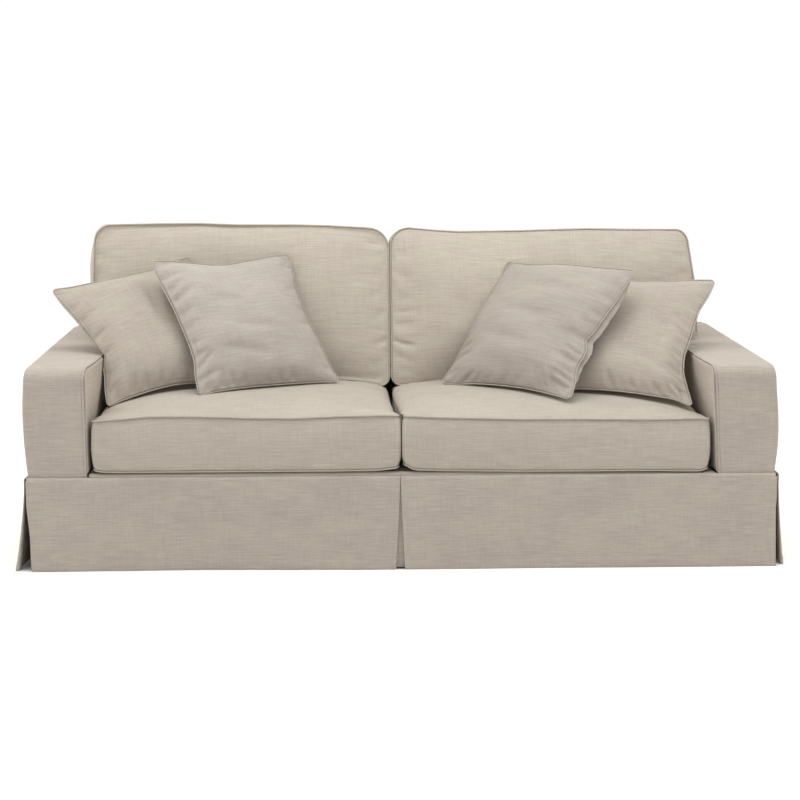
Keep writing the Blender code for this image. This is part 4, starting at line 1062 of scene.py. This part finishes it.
def seat_cushion(label, hand):
    near = SEAT_MEETING_X + hand * SEAT_GAP
    arm_end = hand * SEAT_OUTER_X[hand]
    left, right = sorted((near, arm_end))
    low, high = SEAT_FRONT_Y, SEAT_FRONT_Y + SEAT_DEPTH
    x, y, s, t = rounded_plan(left, right, low, high, SEAT_CORNER,
                              stations(left, right, 0.0135), stations(low, high, 0.0135))
    inner, outer = abs(x - near), abs(x - arm_end)
    x = x - meeting_drift(y) * np.clip(1 - inner / 0.25, 0, 1)
    face = stack(x, y, seat_top(x, y, s, t, hand))
    # the shoulders lean out over the side seams, to meet the other cushion and the arm
    places, lean = SHOULDER_LEAN[0], np.array(SHOULDER_LEAN[1])
    over = 1.30 if hand > 0 else 0.78                 # the right cushion's shoulder lies over the left one's
    face[..., 0] -= hand * np.interp(inner, places, over * lean) * smoothstep((y - low) / 0.04)
    face[..., 0] += hand * np.interp(outer, places, 0.6 * lean) * smoothstep((y - low) / 0.04)
    places, _, foot_rise = FRONT_SEAMS[hand]
    front = np.interp(x, places, np.array(foot_rise) / 1000) * smoothstep((SEAT_FRONT_Y + 0.08 - y) / 0.08)
    belly = 0.014 * (1 - abs(s) ** 4) * (1 - abs(t) ** 4)
    foot = np.maximum(SEAT_BOTTOM_Z + seat_tilt(x) + front - belly, deck_z(x) + 0.0006)

    def swell(edge):
        beside = hand * (edge[:, 0] + meeting_drift(edge[:, 1]) - near) < 0.010
        to_arm = 0.006 + 0.014 * smoothstep((edge[:, 1] - SEAT_FRONT_Y - 0.014) / 0.035)
        return np.where(beside, 0.0120, np.where(edge[:, 1] < SEAT_FRONT_Y + 0.01, 0.0085, to_arm))

    def clamp(points):
        x, y, z = points.T
        y = np.maximum(y, SEAT_FRONT_LIMIT_Y)
        z = np.maximum(z, deck_z(x) + 0.0005)
        limit = inner_arm_x(y, z, hand) - 0.0025
        shoulder = smoothstep((z - 0.415) / 0.03) * smoothstep((y - low) / 0.05)
        middle = SEAT_MEETING_X + hand * 0.0010 - 0.006 * shoulder - meeting_drift(y)
        return stack(on_own_side(np.clip(x, -limit, limit), middle, hand), y, z)

    def relief(points, run, near):
        height = 0.0016 * puckers(run, near, 0.045, 0.030, 4 + hand)
        height += 0.0016 * lumps(points, (0.12, 0.12, 0.07), 77)
        from_x, width, deep = SEAT_SCALLOPS[hand]
        scallops = deep * smoothstep((hand * points[:, 0] - from_x) / width)
        height += scallops * puckers(run, near, 0.021, 0.026, 9)
        return height + creases(points, (0, 2), SEAT_CREASES[hand]) * (points[:, 1] < -0.45)

    boxed("seat_" + label, "seat_cushion_" + label, face, stack(x, y, foot), 11, swell, clamp,
          ("slub_linen_seat", "seat_cushion_cloth"), ("top", "bottom"), SEAT_FILLING, relief)


SEAT_SCALLOPS = {-1: (0.86, 0.03, 0.0030), 1: (0.835, 0.04, 0.0062)}     # where they start, ease in, height
SEAT_CREASES = {
    # hand: starts and ends in x and z, width and depth, in metres, on the front
    -1: [((-0.885, 0.40), (-0.855, 0.43), 0.006, 0.0048), ((-0.88, 0.315), (-0.83, 0.302), 0.006, 0.0032),
         ((-0.05, 0.305), (-0.012, 0.325), 0.006, 0.0048), ((-0.04, 0.43), (-0.01, 0.40), 0.006, 0.0032)],
    1: [((0.885, 0.33), (0.835, 0.302), 0.006, 0.0064), ((0.88, 0.36), (0.845, 0.345), 0.006, 0.0048),
        ((0.885, 0.395), (0.850, 0.405), 0.006, 0.0048), ((0.88, 0.42), (0.855, 0.432), 0.005, 0.0032),
        ((0.05, 0.303), (0.012, 0.330), 0.006, 0.0048)],
}
for label, hand in SIDES:
    seat_cushion(label, hand)

# %% [markdown]
# ## Back cushions
# The back cushions are T-shaped: ears reach out over the arms and touch the back's edge.  They are
# softer than the seats, filled with fibre, and lean against the inside back.  The cover is pulled
# tight round the seams, so short creases run in from the side edges, and the boxing of the ears
# bulges out beyond the welt.

# %% Back cushions
BACK_FOOT_Y, BACK_LEAN, BACK_CROWN = 0.010, 0.235, 0.030
BACK_LEAN_FOOT_Z = 0.4765
BACK_FILLING = (0.015, 3.0, 0.009)
BACK_MEETING_X, BACK_NARROW_X, EAR_BOTTOM_Z = -0.020, 0.876, 0.603
BACK_EDGES = {
    # hand: heights, and how far out the ear's edge is there
    -1: ((0.60, 0.76, 0.875, 0.95), (0.950, 0.948, 0.946, 0.943)),
    1: ((0.60, 0.776, 0.85, 0.93), (0.951, 0.945, 0.935, 0.924)),
}
BACK_SIDE_BULGE = {
    # hand: heights, and how far the boxing strip bulges out beside the arm
    -1: ((0.603, 0.66, 0.74, 0.82, 0.87, 0.93), (0.000, 0.020, 0.031, 0.034, 0.029, 0.015)),
    1: ((0.603, 0.66, 0.74, 0.93), (0.000, 0.014, 0.020, 0.012)),
}
BACK_TOPS = {
    # hand: places along x, heights of the top edge
    -1: ((-0.96, -0.90, -0.75, -0.62, -0.50, -0.32, -0.22, -0.10, 0.0),
         (0.945, 0.9485, 0.9515, 0.952, 0.9475, 0.9470, 0.9445, 0.938, 0.928)),
    1: ((-0.02, 0.04, 0.12, 0.20, 0.40, 0.61, 0.73, 0.95),
        (0.930, 0.937, 0.9295, 0.9245, 0.9275, 0.9325, 0.930, 0.930)),
}
BACK_CORNERS = {-1: (0.045, 0.055), 1: (0.036, 0.045)}      # radius at the arm side and at the middle
BACK_CREASES = {
    # hand: starts and ends in x and z, width and depth, in metres
    -1: [((-0.028, 0.885), (-0.11, 0.895), 0.007, 0.0066), ((-0.028, 0.86), (-0.09, 0.845), 0.007, 0.00572),
         ((-0.028, 0.80), (-0.085, 0.785), 0.007, 0.00528),
         ((-0.028, 0.745), (-0.095, 0.725), 0.007, 0.00484),
         ((-0.028, 0.685), (-0.08, 0.655), 0.007, 0.00572), ((-0.028, 0.60), (-0.07, 0.57), 0.007, 0.00572),
         ((-0.035, 0.53), (-0.09, 0.515), 0.006, 0.0066), ((-0.95, 0.86), (-0.89, 0.845), 0.007, 0.0066),
         ((-0.955, 0.80), (-0.90, 0.80), 0.007, 0.00616), ((-0.955, 0.765), (-0.90, 0.775), 0.007, 0.00572),
         ((-0.95, 0.72), (-0.89, 0.745), 0.007, 0.00528)],
    1: [((-0.012, 0.865), (0.05, 0.85), 0.007, 0.00572), ((-0.012, 0.80), (0.045, 0.785), 0.007, 0.00484),
        ((-0.012, 0.71), (0.06, 0.725), 0.007, 0.00748), ((-0.012, 0.675), (0.07, 0.685), 0.007, 0.00792),
        ((-0.012, 0.645), (0.06, 0.640), 0.007, 0.0066), ((-0.012, 0.59), (0.06, 0.575), 0.007, 0.0066),
        ((-0.010, 0.55), (0.07, 0.520), 0.006, 0.00748), ((0.0, 0.51), (0.06, 0.49), 0.006, 0.0066),
        ((0.935, 0.80), (0.88, 0.79), 0.007, 0.00572), ((0.93, 0.85), (0.87, 0.85), 0.007, 0.00484)],
}


def seat_surface_z(x, y):
    hand = 1 if np.mean(x) > SEAT_MEETING_X else -1
    near, outer = SEAT_MEETING_X + hand * WELT_REACH, hand * SEAT_OUTER_X[hand]
    s = np.clip(abs(x - (near + outer) / 2) / abs((outer - near) / 2), 0, 1)
    t = np.clip((y - SEAT_FRONT_Y - SEAT_DEPTH / 2) / (SEAT_DEPTH / 2), -1, 1)
    return seat_top(x, y, s, t, hand)


def round_off(drop, radius):
    """How far a rounded corner cuts in at a distance from its end."""
    rest = np.clip(radius - drop, 0, radius)
    return radius - np.sqrt(np.maximum(radius ** 2 - rest ** 2, 0))


def back_cushion(label, hand):
    meet = BACK_MEETING_X + hand * (WELT_REACH - 0.0015)
    foot, ear, top = 0.474, EAR_BOTTOM_Z, 0.95
    total = top - foot
    # rows lie close together round the foot, the notch under the ear and the top corners
    heel_rows = (0, 0.0016, 0.004, 0.008, 0.014, 0.022, 0.030)
    notch_rows = np.array((-0.016, -0.010, -0.005, 0.0, 0.003, 0.008, 0.016, 0.027))
    top_rows = np.array((1.2, 1.0, 0.8, 0.6, 0.42, 0.27, 0.15, 0.07, 0.02, 0.0))
    height = np.concatenate([heel_rows, np.arange(0.043, ear - foot - 0.018, 0.0135), ear - foot + notch_rows,
                             np.arange(ear - foot + 0.04, total - 0.075, 0.0135), total - 0.055 * top_rows])
    t = height / total
    arm_corner, middle_corner = BACK_CORNERS[hand]
    heel = round_off(height, 0.030)
    flare = smoothstep((height - (ear - foot) + 0.006) / 0.010)
    wide = np.interp(foot + height, *BACK_EDGES[hand])
    drop = total - height
    outer = BACK_NARROW_X + (wide - BACK_NARROW_X) * flare - round_off(drop, arm_corner) - heel * 0.6
    inner_edge = round_off(drop, middle_corner) + heel * 0.8
    share = spaced(0.94, 0.0135)
    inner_x = meet + hand * inner_edge
    x = inner_x[:, None] + (hand * outer - inner_x)[:, None] * share[None, :]
    top_z = np.interp(x, *BACK_TOPS[hand])
    foot_z = seat_surface_z(np.clip(abs(x), 0.05, 0.85) * hand, np.array(BACK_FOOT_Y)) + 0.0085
    z = foot_z + (top_z - foot_z) * t[:, None]
    s = 2 * share[None, :] - 1
    tt = 2 * t[:, None] - 1
    crown = (np.clip(1 - abs(s) ** 4.2, 0, 1) * np.clip(1 - abs(tt) ** 4.6, 0, 1)) ** 0.80
    y = BACK_FOOT_Y + BACK_LEAN * (z - BACK_LEAN_FOOT_Z) - BACK_CROWN * crown
    face = stack(x, y, z + 0.006 * crown)
    rear_z = z - 0.055 * np.maximum(z - EAR_BOTTOM_Z, 0)
    rest = inside_back_y(rear_z) - 0.0006
    base = stack(x, np.minimum(rest - WELT_REACH + 0.012 * crown, rest), rear_z)

    def swell(edge):
        side = np.interp(edge[:, 2], *BACK_SIDE_BULGE[hand]) * smoothstep((abs(edge[:, 0]) - 0.88) / 0.03)
        return np.maximum(side, np.where(edge[:, 2] > EAR_BOTTOM_Z + 0.03, 0.0045, 0.0005))

    def clamp(points):
        x, y, z = points.T
        y = np.minimum(y, inside_back_y(z) - 0.0005)
        limit = np.where(z < ARM_TOP_Z + 0.008, inner_arm_x(y, z, hand) - 0.001, 1.0)
        return stack(on_own_side(np.clip(x, -limit, limit), BACK_MEETING_X + hand * 0.0010, hand), y, z)

    def relief(points, run, near):
        beside = np.clip((abs(points[:, 0] + BACK_MEETING_X) - 0.80) / 0.08, 0, 1)
        beside = np.maximum(beside, np.clip((0.14 - abs(points[:, 0] - BACK_MEETING_X)) / 0.08, 0, 1))
        height = 0.0040 * puckers(run, near, 0.042, 0.035, 14 + hand) * (0.25 + 0.75 * beside)
        height += 0.0026 * lumps(points, (0.16, 0.16, 0.11), 78)
        return height + creases(points, (0, 2), BACK_CREASES[hand]) * (points[:, 1] < 0.12)

    boxed("back_" + label, "back_cushion_" + label, face, base, 12, swell, clamp,
          ("slub_linen_back", "back_cushion_cloth"), ("front", "rear"), BACK_FILLING, relief)


for label, hand in SIDES:
    back_cushion(label, hand)

# %% [markdown]
# ## Scatter cushions
# Four knife-edge cushions: two squares of cloth sewn face to face over a fibre filling, with a welt
# in the seam.  They lean on the back and on each other.  The filling pulls the sides in between the
# corners, by amounts given here at even steps along each side, and leaves small gathers along the
# seam, strongest near the corners.  The right front cushion sags towards its right seam, which is
# dented and lets the rear face show beyond it.

# %% Scatter cushions
SCATTER = {
    # name: corners top left, top right, bottom right, bottom left; then draw-in in mm at even steps
    # along each side, clockwise from the top left corner; then the fullness of front and rear in mm
    "pillow_rear_left": (
        ((-1.043, -0.125, 0.771), (-0.644, 0.090, 0.845), (-0.469, -0.158, 0.479), (-0.859, -0.336, 0.457)),
        ((7, 8, 11, 12, 11, 11, 6), (8, 14, 18, 20, 18, 14, 8), (20, 36, 44, 44, 38, 28, 16),
         (15, 36, 43, 43, 38, 25, 9)), 60, 42),
    "pillow_front_left": (
        ((-0.742, -0.107, 0.855), (-0.337, 0.078, 0.854), (-0.183, -0.098, 0.487), (-0.594, -0.290, 0.481)),
        ((3, 12, 21, 26, 18, 10, 1), (8, 20, 23, 24, 17, 12, 8), (6, 8, 10, 11, 12, 11, 8),
         (6, 22, 23, 20, 16, 8, 0)), 64, 42),
    "pillow_front_right": (
        ((0.347, 0.074, 0.829), (0.708, -0.196, 0.831), (0.497, -0.377, 0.478), (0.135, -0.099, 0.482)),
        ((1, 2, -5, -5, -3, -1, 0), (4, 7, 10, 13, 19, 25, 29, 35, 48, 30, 26, 31, 25, 13, 6),
         (8, 14, 18, 18, 16, 12, 2), (9, 10, 7, 2, 0, 2, 8)), 62, 46),
    "pillow_rear_right": (
        ((0.549, 0.044, 0.796), (0.973, -0.095, 0.789), (0.852, -0.396, 0.457), (0.434, -0.252, 0.476)),
        ((10, 16, 19, 18, 16, 10, 3), (11, 32, 39, 44, 52, 46, 24), (22, 26, 30, 32, 31, 28, 18),
         (8, 12, 14, 14, 12, 8, 4)), 60, 42),
}
# the plane where a front and a rear cushion touch: its direction and its distance from the origin
CONTACT = {"left": ((0.475, -0.668, 0.573), 0.182), "right": ((-0.597, -0.485, 0.639), 0.184)}
CORD_ROOM = 0.0030               # the seam lies inside the cord
TIP_PULL = 1.016                 # the cover's tips are pulled out by their seams
SCATTER_CORNER = 0.032           # radius of a seam's corners, as a share of a side
SCATTER_WIDTH, PATTERN_WIDTH = 0.45, 0.470
SCATTER_FILLING = {"pressure": 5.0, "cap": 0.012, "frames": 22, "bending": 0.02}
SCATTER_SHARES = np.concatenate([[0, 0.008, 0.02], np.linspace(0.04, 0.96, 59), [0.98, 0.992, 1.0]])
GATHERS = {
    # name: side, first and last place along it, count, length, slant in metres, depth in mm
    "pillow_rear_left": (
        ("left", 0.05, 0.42, 7, 0.085, 0.030, 8.182), ("bottom", 0.03, 0.40, 8, 0.060, 0.012, 6.364),
        ("right", 0.10, 0.30, 3, 0.070, 0.020, 7.273)),
    "pillow_front_left": (
        ("left", 0.04, 0.42, 10, 0.085, 0.034, 8.182), ("bottom", 0.03, 0.30, 8, 0.055, 0.010, 7.273),
        ("right", 0.06, 0.40, 6, 0.055, -0.015, 4.545), ("top", 0.05, 0.40, 6, 0.040, 0.008, 3.636)),
    "pillow_front_right": (
        ("right", 0.02, 0.17, 6, 0.075, 0.016, 10.909), ("bottom", 0.33, 0.44, 5, 0.060, -0.030, 9.091),
        ("right", 0.18, 0.42, 6, 0.050, 0.020, 5.455), ("bottom", 0.04, 0.26, 6, 0.050, 0.020, 6.364),
        ("left", 0.03, 0.22, 5, 0.060, 0.018, 6.364)),
    "pillow_rear_right": (
        ("right", 0.03, 0.26, 8, 0.080, 0.024, 10.000), ("bottom", 0.20, 0.43, 7, 0.055, -0.016, 8.182),
        ("right", 0.28, 0.42, 4, 0.050, 0.020, 5.455)),
}
SOFT_FOLDS = {
    # name: starts and ends on the flat front, width and depth, in metres
    "pillow_rear_left": [
        ((0.27, 0.40), (0.25, 0.22), 0.020, 0.008), ((0.17, 0.30), (0.19, 0.12), 0.022, 0.0064)],
    "pillow_front_left": [
        ((0.08, 0.13), (0.26, 0.09), 0.020, 0.0072), ((0.12, 0.21), (0.34, 0.18), 0.018, 0.0048),
        ((0.10, 0.30), (0.22, 0.29), 0.016, 0.0048)],
    "pillow_front_right": [
        ((0.09, 0.26), (0.33, 0.22), 0.020, 0.0064), ((0.06, 0.17), (0.30, 0.12), 0.020, 0.0064),
        ((0.12, 0.35), (0.36, 0.33), 0.020, 0.0056)],
    "pillow_rear_right": [
        ((0.20, 0.14), (0.40, 0.10), 0.022, 0.0072), ((0.30, 0.30), (0.40, 0.20), 0.022, 0.0064)],
}
# the right front cushion wears the darker copy of the cool linen, which is painted shade
SCATTER_LINEN = {
    "pillow_rear_left": "slub_linen_scatter", "pillow_front_left": "slub_linen_scatter_cool",
    "pillow_front_right": "slub_linen_scatter_painted_shade", "pillow_rear_right": "slub_linen_scatter",
}
SHOWN_SEAMS = {"pillow_rear_left": "lb", "pillow_front_left": "lb", "pillow_front_right": "rb",
               "pillow_rear_right": "r"}


def unit(vector):
    return np.asarray(vector, float) / np.linalg.norm(vector)


def press(points, name):
    """Push points in front of what the cushion leans on, and clear of the arm."""
    lean = unit((0.0, -1.0, BACK_LEAN))
    planes = [(lean, np.array([0, BACK_FOOT_Y, BACK_LEAN_FOOT_Z]) @ lean + BACK_CROWN + 2 * WELT_REACH)]
    normal, distance = CONTACT[name.split("_")[-1]]
    side = 1 if "front" in name else -1
    planes.append((side * unit(normal), side * distance + (CLOTH if side > 0 else 0)))
    points = points.copy()
    for out, reach in planes:
        depth = np.maximum(reach - points @ out, 0.0)
        points += depth[:, None] * out
    above = np.maximum(points[:, 2] - ARM_TOP_Z - 0.003, 0.0)
    hand = 1 if "right" in name else -1
    limit = inner_arm_x(points[:, 1], points[:, 2], hand) - 0.0065 + above
    points[:, 0] = np.clip(points[:, 0], -limit, limit)
    return points


def drawn_side(start, end, centre, pulls, share):
    """A side between two corners, pulled in by amounts at even steps along it, smoothed."""
    inward = unit(centre - (start + end) / 2)
    fine = np.linspace(0, 1, 161)
    pull = np.interp(fine, np.linspace(0, 1, len(pulls) + 2), [0, *pulls, 0]) / 1000
    half = 76 // (len(pulls) + 1)
    kernel = np.hanning(2 * half + 1) / np.hanning(2 * half + 1).sum()
    pull = np.convolve(np.pad(pull, half, mode="reflect", reflect_type="odd"), kernel, mode="valid")
    pull = np.interp(share, fine, pull) + CORD_ROOM
    return start + (end - start) * share[:, None] + inward * pull[:, None]


def gathers(u, v, name):
    """Short irregular folds that run in from the seams, and a few soft ones across the front."""
    flat, edge = stack(u, v), SCATTER_WIDTH
    height = creases(flat, (0, 1), SOFT_FOLDS[name])
    for side, first, last, count, length, slant, depth in GATHERS[name]:
        for k, place in enumerate(np.linspace(first, last, count)):
            # a random share that is the same each time
            wobble = math.sin(12.9898 * (k + 1) + 78.2 * first) % 1.0
            place += (wobble - 0.5) * 0.5 * (last - first) / count
            reach, deep = length * (0.6 + 0.7 * wobble), depth / 1000 * (0.55 + 0.75 * ((wobble * 7.3) % 1.0))
            rise = slant * (0.4 + 1.2 * ((wobble * 3.7) % 1.0))
            # from outside the seam to inside it; then turned to the side that it starts from
            start, end = (-0.4 * reach, place - 0.4 * rise), (reach, place + rise)
            if side in ("right", "top"):
                start, end = (edge - start[0], start[1]), (edge - end[0], end[1])
            if side in ("bottom", "top"):
                start, end = start[::-1], end[::-1]
            height = height + crease(flat, (0, 1), start, end, 0.0080 + 0.003 * wobble, deep)
    return height


def scatter_plane(corners, centre, draw_ins, s, t):
    """A flat grid that fills the four drawn-in sides of a cushion."""
    top, right, bottom, left = (drawn_side(start, end, centre, pulls, SCATTER_SHARES)
                                for start, end, pulls in zip(corners, np.roll(corners, -1, axis=0), draw_ins))
    bottom, left = bottom[::-1], left[::-1]

    def along(side, places):
        return stack(*(np.interp(places, SCATTER_SHARES, side[:, k]) for k in range(3)))

    s3, t3 = s[..., None], t[..., None]
    rows = (1 - t3) * along(top, s) + t3 * along(bottom, s)
    columns = (1 - s3) * along(left, t) + s3 * along(right, t)
    tips = (1 - t3) * ((1 - s3) * top[0] + s3 * top[-1]) + t3 * ((1 - s3) * bottom[0] + s3 * bottom[-1])
    return rows + columns - tips


def filled_faces(name, plane, normal, across, s, t, ring):
    """The front and rear faces before the simulation, crowned by the fullness of the filling."""
    front_full, rear_full = SCATTER[name][2:]
    profile = ring ** 0.62
    low = np.exp(-((t - 0.80) / 0.22) ** 2) * profile      # fibre settles towards the foot
    front = plane + normal * (front_full * profile + 3 * low)[..., None] / 1000
    if name != "pillow_front_right":
        return front, plane - normal * (rear_full * profile)[..., None] / 1000
    # the filling sags and hangs out behind the right seam, so the rear cloth shows beyond it
    sag = np.exp(-((s - 0.90) / 0.10) ** 2) * np.sin(math.pi * np.clip((t - 0.05) / 0.90, 0, 1)) ** 0.7
    rear = plane - normal * (rear_full * profile + 40 * sag * ring ** 0.35)[..., None] / 1000
    spill = np.exp(-((s - 0.955) / 0.055) ** 2) * np.sin(math.pi * np.clip((t - 0.02) / 0.96, 0, 1)) ** 0.6
    return front, rear + 0.040 * (spill * smoothstep((1 - s) / 0.02))[..., None] * across


def scatter_cushion(name):
    corners, draw_ins = np.array(SCATTER[name][0]), SCATTER[name][1]
    centre = corners.mean(axis=0)
    corners = centre + (corners - centre) * TIP_PULL
    normal = unit(np.cross(corners[1] - corners[3], corners[0] - corners[2]))
    across, down = unit(corners[1] - corners[0]), unit(corners[3] - corners[0])
    # the corners of the grid are rounded, so that the seam turns each corner in a small curve
    s, t, away_s, away_t = rounded_plan(0, 1, 0, 1, SCATTER_CORNER, SCATTER_SHARES, SCATTER_SHARES)
    plane = scatter_plane(corners, centre, draw_ins, s, t)
    ring = np.clip((1 - away_s ** 2) * (1 - away_t ** 2), 0, 1)
    front, rear = filled_faces(name, plane, normal, across, s, t, ring)

    # the two faces share the seam's points; the rear one has its own inside it
    size = len(SCATTER_SHARES)
    index = np.arange(size * size).reshape(size, size)
    inside, border = index[1:-1, 1:-1].ravel(), outline(index)
    rear_index = index.copy()
    rear_index[1:-1, 1:-1] = size * size + np.arange(len(inside)).reshape(size - 2, size - 2)

    def both(front, rear):
        flat = (-1,) + front.shape[2:]
        return np.concatenate([front.reshape(flat), rear.reshape(flat)[inside]])

    quads = cell_corners(size, size)
    faces = quads[:, ::-1].tolist() + rear_index.ravel()[quads].tolist()
    order = np.concatenate([quads[:, ::-1], quads])
    edge = SCATTER_WIDTH
    u, v = s * edge, (1 - t) * edge
    near = np.minimum.reduce([u, edge - u, v, edge - v])
    run = np.where(np.minimum(u, edge - u) < np.minimum(v, edge - v), v, u)
    # seams named in SHOWN_SEAMS get the full painted shade of a seam's groove; at the others it starts 2.6 mm
    # further in and is fainter
    shown = np.full(u.shape, 1.0)
    for side, distance in (("l", u), ("r", edge - u), ("b", v), ("t", edge - v)):
        shown = np.minimum(shown, distance + (0.0 if side in SHOWN_SEAMS[name] else 0.0026))
    uv_sets = {"cloth": at_corners(u, v, order) + cloth_offset(name), "seam": at_corners(run, shown, order)}

    # the flat pattern: two squares, a little larger than the cushion that they make
    square = corners[0] + (u / edge * PATTERN_WIDTH)[..., None] * across
    square = square + ((1 - v / edge) * PATTERN_WIDTH)[..., None] * down
    points = press(both(front, rear), name)
    result = press(filled(points, faces, border, both(square, square), **SCATTER_FILLING), name)
    normals = vertex_normals(result, faces)
    reach = both(near, near)
    to_corner = np.hypot(edge / 2 - abs(u - edge / 2), edge / 2 - abs(v - edge / 2))
    seed = zlib.crc32(name.encode()) % 83
    height = 0.0030 * puckers(both(run, run), reach, 0.030, 0.030, seed)
    height *= 0.5 + np.exp(-both(to_corner, to_corner) / 0.08)
    height += 0.0070 * lumps(result, (0.10, 0.10, 0.10), 91) * np.clip(reach / 0.05, 0, 1)
    folds = gathers(u, v, name)
    height += both(folds, 0.6 * folds)
    height *= np.clip(reach / 0.008, 0, 1)
    result = press(result + normals * height[:, None], name)
    shown_name = name.replace("pillow", "scatter")
    piece = finish_mesh(shown_name, name, "scatter_cushion_cloth", result, faces, uv_sets,
                        LINEN[SCATTER_LINEN[name]], subdivide=1)
    outward = normals[border] - (normals[border] @ normal)[:, None] * normal * 0.8
    outward /= np.linalg.norm(outward, axis=1, keepdims=True)
    welt_cord(shown_name + "_cord", result[border], outward, name + "_welt", radius=0.0020, lift=0.0010)
    foot = result[border]
    return float(np.min(foot[:, 2] - seat_surface_z(foot[:, 0], foot[:, 1])))


for name in SCATTER:
    print(name, "lowest seam above the seat:", round(scatter_cushion(name) * 1000, 1), "mm")

# %% [markdown]
# ## Floor and light
# A plain white floor and a bright surround, as in a product studio.  A large soft lamp overhead
# lights the tops a little more than the fronts, and a second one lights the floor behind.  The
# surround is brighter on the left and dimmer on the camera's side, so the forms keep some shade.

# %% Floor, surround and lamps
floor_corners = [(-2.4, -2.4, -0.001), (2.4, -2.4, -0.001), (2.4, 3.8, -0.001), (-2.4, 3.8, -0.001)]
floor = new_object("floor", new_mesh("floor", floor_corners, [(0, 1, 2, 3)]))
paint = bpy.data.materials.new("white_matt_floor_paint")
paint.use_nodes = True
paint.node_tree.nodes["Principled BSDF"].inputs["Base Color"].default_value = linear("#FBFBFA")
paint.node_tree.nodes["Principled BSDF"].inputs["Roughness"].default_value = 0.9
floor.data.materials.append(paint)

world = bpy.data.worlds.new("studio_surround")
bpy.context.scene.world = world
world.use_nodes = True
surround = world.node_tree
backdrop = surround.nodes["Background"]
direction = add_node(surround, "ShaderNodeTexCoord").outputs["Generated"]
across, towards, upwards = add_node(surround, "ShaderNodeSeparateXYZ", in_0=direction).outputs
# walls all round, a little brighter on the left and dimmer in front
walls = maths(surround, "MULTIPLY", ramp(surround, across, -0.9, -0.2, 1.42, 1.05),
              ramp(surround, towards, -0.8, -0.2, 0.92, 1.0))
# a dim ceiling in front, brighter behind, and brightest overhead
ceiling = add_node(surround, "ShaderNodeMix", {"data_type": "FLOAT", 3: 0.90},
                   in_0=ramp(surround, upwards, 0.70, 0.95),
                   in_2=ramp(surround, towards, -0.6, 0.3, 0.40, 0.70))
strength = add_node(surround, "ShaderNodeMix", {"data_type": "FLOAT"},
                    in_0=ramp(surround, upwards, 0.28, 0.50), in_2=walls, in_3=ceiling.outputs[0])
surround.links.new(strength.outputs[0], backdrop.inputs["Strength"])
backdrop.inputs["Color"].default_value = linear("#FFFCFA")


def soft_lamp(name, place, aim, width, height, power, colour):
    lamp = bpy.data.lights.new(name, "AREA")
    lamp.shape = "RECTANGLE"
    lamp.size, lamp.size_y = width, height
    lamp.energy = power
    lamp.color = linear(colour)[:3]
    holder = new_object(name, lamp)
    holder.location = place
    holder.rotation_euler = (Vector(aim) - Vector(place)).to_track_quat("-Z", "Y").to_euler()


soft_lamp("overhead_softbox", (0.0, -0.8, 3.0), (0.0, -0.8, 0.0), 8.0, 1.2, 122, "#F8FFFD")
soft_lamp("background_softbox", (0.0, 2.8, 3.2), (0.0, 2.8, 0.0), 5.0, 1.2, 55, "#F8FFFD")
bpy.context.scene.view_settings.view_transform = "Standard"
print("lamps:", len(bpy.data.lights))
